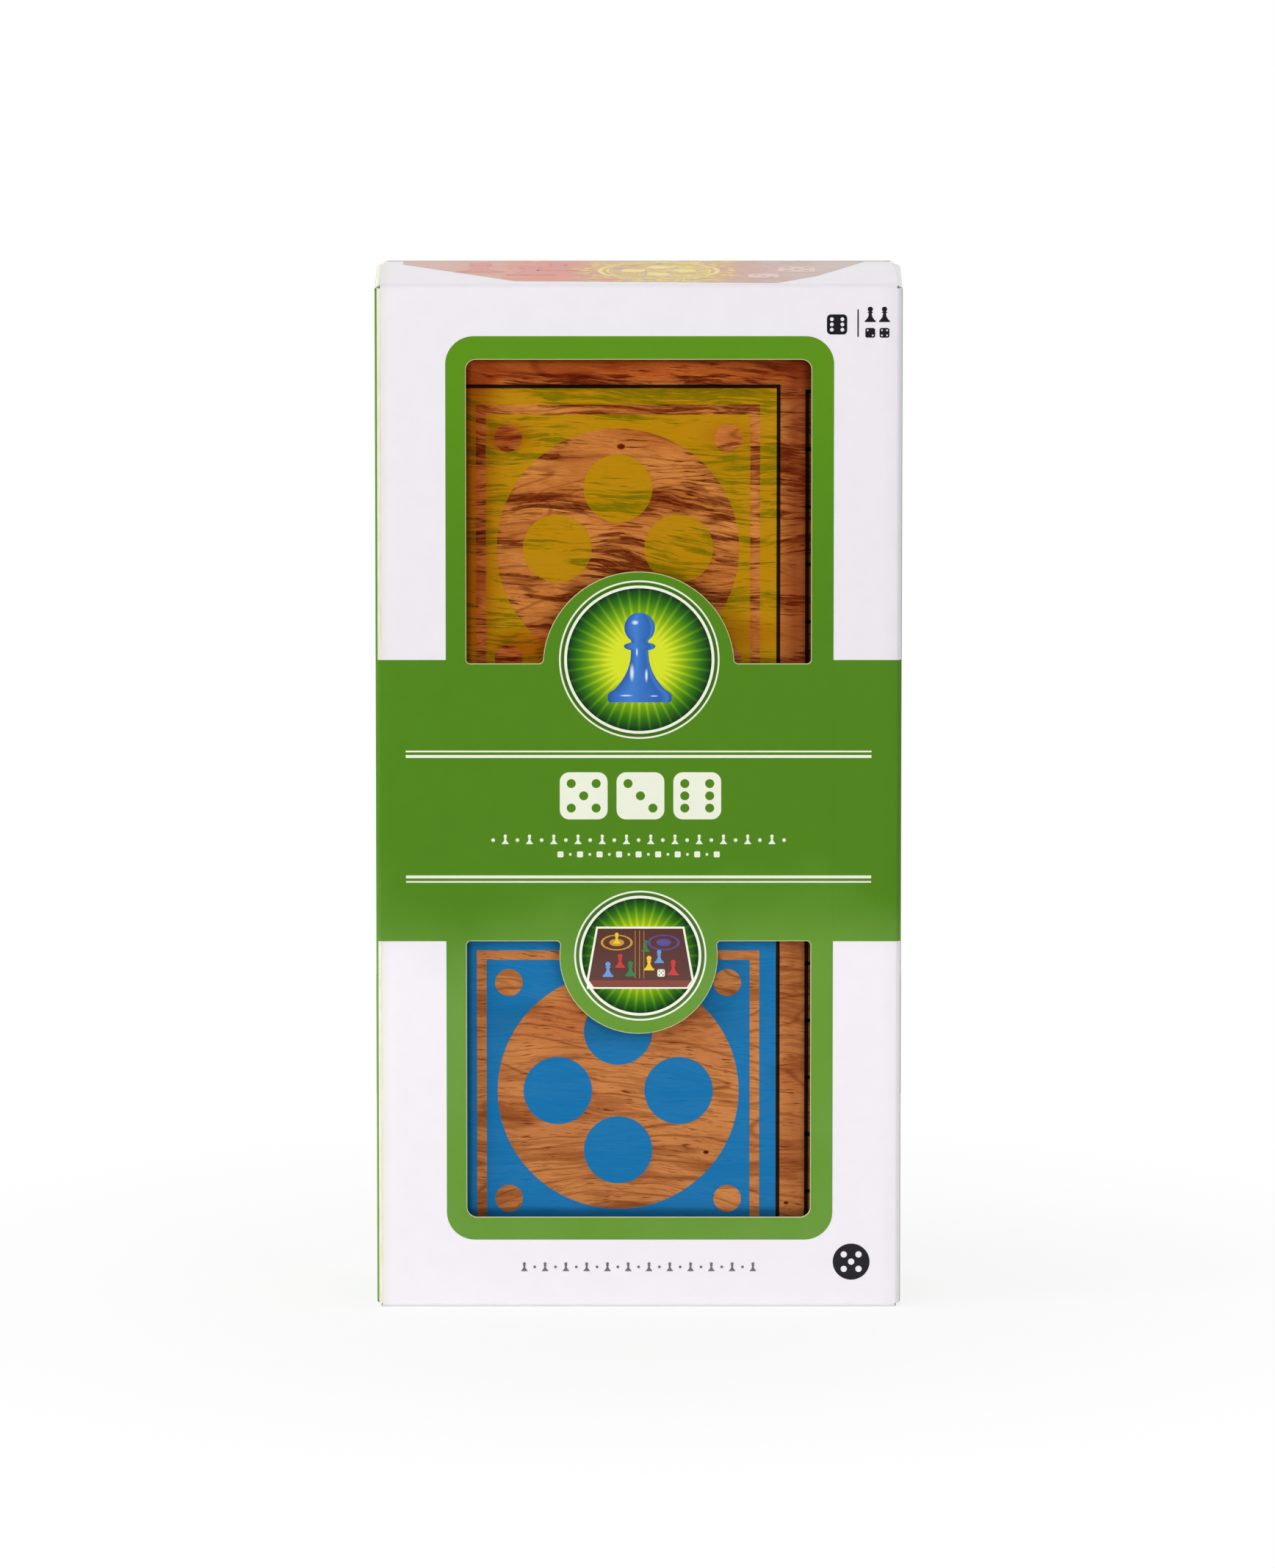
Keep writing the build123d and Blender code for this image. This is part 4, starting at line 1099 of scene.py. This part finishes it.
class LUDO_OT_case(bpy.types.Operator):
    """Finishes the case's rails, hinges and latch"""

    bl_idname = "ludo.case"
    bl_label = "Case"

    def execute(self, context):
        upright = make_rail_wood("varnished_upright_rail", (1.6, 1.6, 60))
        level = make_rail_wood("varnished_level_rail", (60, 1.6, 1.6))
        for half in ("front", "rear"):
            dress([f"{half}_rail_left", f"{half}_rail_right"], upright)
            dress([f"{half}_rail_bottom", f"{half}_rail_top"], level)
        leaf = make_metal("brass_plated_leaf", "#C9A050", 0.28, (0.3, 0.3, 6))
        wire = make_metal("brass_plated_latch", "#CDA453", 0.25, (0.3, 3, 0.3))
        dress(("hinge_leaves_front", "hinge_leaves_rear"), leaf)
        dress(("latch_pivot", "latch_stud", "latch_hook"), wire)
        dress(("hinge_pins", "hinge_screws"), make_metal("drawn_steel", "#A7A29A", 0.3, (0.3, 0.3, 3)))
        return {"FINISHED"}


class LUDO_OT_men(bpy.types.Operator):
    """Finishes the men and the die"""

    bl_idname = "ludo.men"
    bl_label = "Men and die"

    def execute(self, context):
        colours = {"red": "#B81A14", "yellow": "#DDB010", "green": "#16702E", "blue": "#1C4FAA"}
        for key, code in colours.items():
            dress((f"men_{key}",), make_moulded(f"moulded_{key}", code))
        dress(("die",), make_moulded("moulded_ivory", "#EFEBDD"))
        return {"FINISHED"}


FLOOR_RADIUS = 12  # metres
LAMP_AIM = Vector((0, 0, 0.15))
CAMERA_AIM = Vector((-0.00033, CAD_BOX[0][1], 0.1584))  # on the front wall, near its middle


class LUDO_OT_stage(bpy.types.Operator):
    """Sets the floor, lamps, world and camera"""

    bl_idname = "ludo.stage"
    bl_label = "Stage"

    def execute(self, context):
        setup = context.scene.stage_setup
        self.floor()
        self.world(context.scene, setup.lamp_level)
        self.lamps(setup.lamp_level)
        self.camera(context.scene, setup)
        context.scene.view_settings.view_transform = "Standard"
        return {"FINISHED"}

    def seen(self, tree):
        """One for rays that come from the camera, a mirror or glass."""
        rays = [add(tree, "LightPath", out=f"Is {kind} Ray") for kind in ("Camera", "Glossy", "Transmission")]
        some = add(tree, "Math", rays[:2], operation="MAXIMUM")
        return add(tree, "Math", (some, rays[2]), operation="MAXIMUM")

    def floor(self):
        """A pale sweep, which what looks at it directly sees as nearly white, and as pure white far out."""
        material, tree = start("pale_floor")
        where = add(tree, "TexCoord", out="Object")
        reach = add(tree, "VectorMath", (where,), operation="LENGTH", out="Value")
        far = add(tree, "MapRange", (reach, 0.09, 0.30, 0.84, 1.0), interpolation_type="SMOOTHSTEP")
        share = add(tree, "Math", (self.seen(tree), far), operation="MULTIPLY")
        speckle = add(tree, "MapRange", (cells(tree, (30, 30, 30)), 0.3, 0.7, 0.93, 0.95))
        tone = add(tree, "CombineColor", (speckle, speckle, speckle))
        matt = add(tree, "BsdfPrincipled", {"Base Color": tone, "Roughness": 0.9})
        glow = add(tree, "Emission", {"Color": (1, 1, 1), "Strength": 1.0})
        add(tree, "OutputMaterial", {"Surface": add(tree, "MixShader", (share, matt, glow))})
        points = [(u, v, 0) for u, v in disc(0, 0, FLOOR_RADIUS, 128)]
        mesh = bpy.data.meshes.new("floor")
        mesh.from_pydata(points, [], [tuple(range(len(points)))])
        mesh.materials.append(material)
        floor = bpy.data.objects.new("floor", mesh)
        bpy.context.collection.objects.link(floor)

    def world(self, scene, level):
        """White all round for what looks at it directly, and a level fill for everything else."""
        world = bpy.data.worlds.new("studio")
        world.use_nodes = True
        tree = world.node_tree
        tree.nodes.clear()
        fill = add(tree, "Background", {"Color": (1, 1, 1), "Strength": 0.2 * level})
        white = add(tree, "Background", {"Color": (1, 1, 1), "Strength": 1.0})
        add(tree, "OutputWorld", {"Surface": add(tree, "MixShader", (self.seen(tree), fill, white))})
        scene.world = world

    def lamps(self, level):
        """A strong softbox on the left, weaker ones right, in front and overhead, and a wide one behind."""
        # place in metres, side in metres and power in watts
        plan = (
            ("softbox_left", (-2.4, -0.9, 0.75), 1.0, 48.0),
            ("softbox_right", (1.15, -1.75, 0.45), 1.1, 13.0),
            ("softbox_front", (-0.4, -1.75, 1.45), 1.0, 9.6),
            ("softbox_top", (0.0, 0.1, 1.9), 1.2, 8.2),
            ("softbox_back", (0.1, 1.9, 0.8), 2.2, 15.0),
        )
        for name, place, size, power in plan:
            lamp = bpy.data.lights.new(name, "AREA")
            lamp.shape, lamp.size, lamp.energy = "SQUARE", size, power * level
            holder = bpy.data.objects.new(name, lamp)
            holder.location = place
            holder.rotation_euler = (LAMP_AIM - Vector(place)).to_track_quat("-Z", "Y").to_euler()
            bpy.context.collection.objects.link(holder)

    def camera(self, scene, setup):
        """A long lens, straight ahead and a little above."""
        turn, rise = setup.azimuth, setup.elevation
        back = Vector((math.sin(turn) * math.cos(rise), -math.cos(turn) * math.cos(rise), math.sin(rise)))
        lens = bpy.data.cameras.new("camera")
        lens.lens = setup.lens
        lens.sensor_width = 36
        lens.clip_end = 100
        holder = bpy.data.objects.new("camera", lens)
        holder.location = CAMERA_AIM + back * setup.distance
        holder.rotation_euler = back.to_track_quat("Z", "Y").to_euler()
        bpy.context.collection.objects.link(holder)
        scene.camera = holder


class LUDO_PT_panel(bpy.types.Panel):
    """Lists the steps that dress the object"""

    bl_label = "Ludo"
    bl_idname = "LUDO_PT_panel"
    bl_space_type = "VIEW_3D"
    bl_region_type = "UI"
    bl_category = "Ludo"

    def draw(self, context):
        for operator in OPERATORS:
            self.layout.operator(operator.bl_idname)


SETTINGS = (
    ("carton_print", CartonPrint), ("board_print", BoardPrint),
    ("wood_finish", WoodFinish), ("stage_setup", StageSetup),
)
OPERATORS = (LUDO_OT_carton, LUDO_OT_board, LUDO_OT_case, LUDO_OT_men, LUDO_OT_stage)


def register():
    for name, group in SETTINGS:
        bpy.utils.register_class(group)
        setattr(bpy.types.Scene, name, PointerProperty(type=group))
    for operator in OPERATORS:
        bpy.utils.register_class(operator)
    bpy.utils.register_class(LUDO_PT_panel)


def unregister():
    bpy.utils.unregister_class(LUDO_PT_panel)
    for operator in reversed(OPERATORS):
        bpy.utils.unregister_class(operator)
    for name, group in reversed(SETTINGS):
        delattr(bpy.types.Scene, name)
        bpy.utils.unregister_class(group)


def main():
    register()
    bpy.ops.ludo.carton()
    bpy.ops.ludo.board()
    bpy.ops.ludo.case()
    bpy.ops.ludo.men()
    bpy.ops.ludo.stage()


if __name__ == "__main__":
    main()
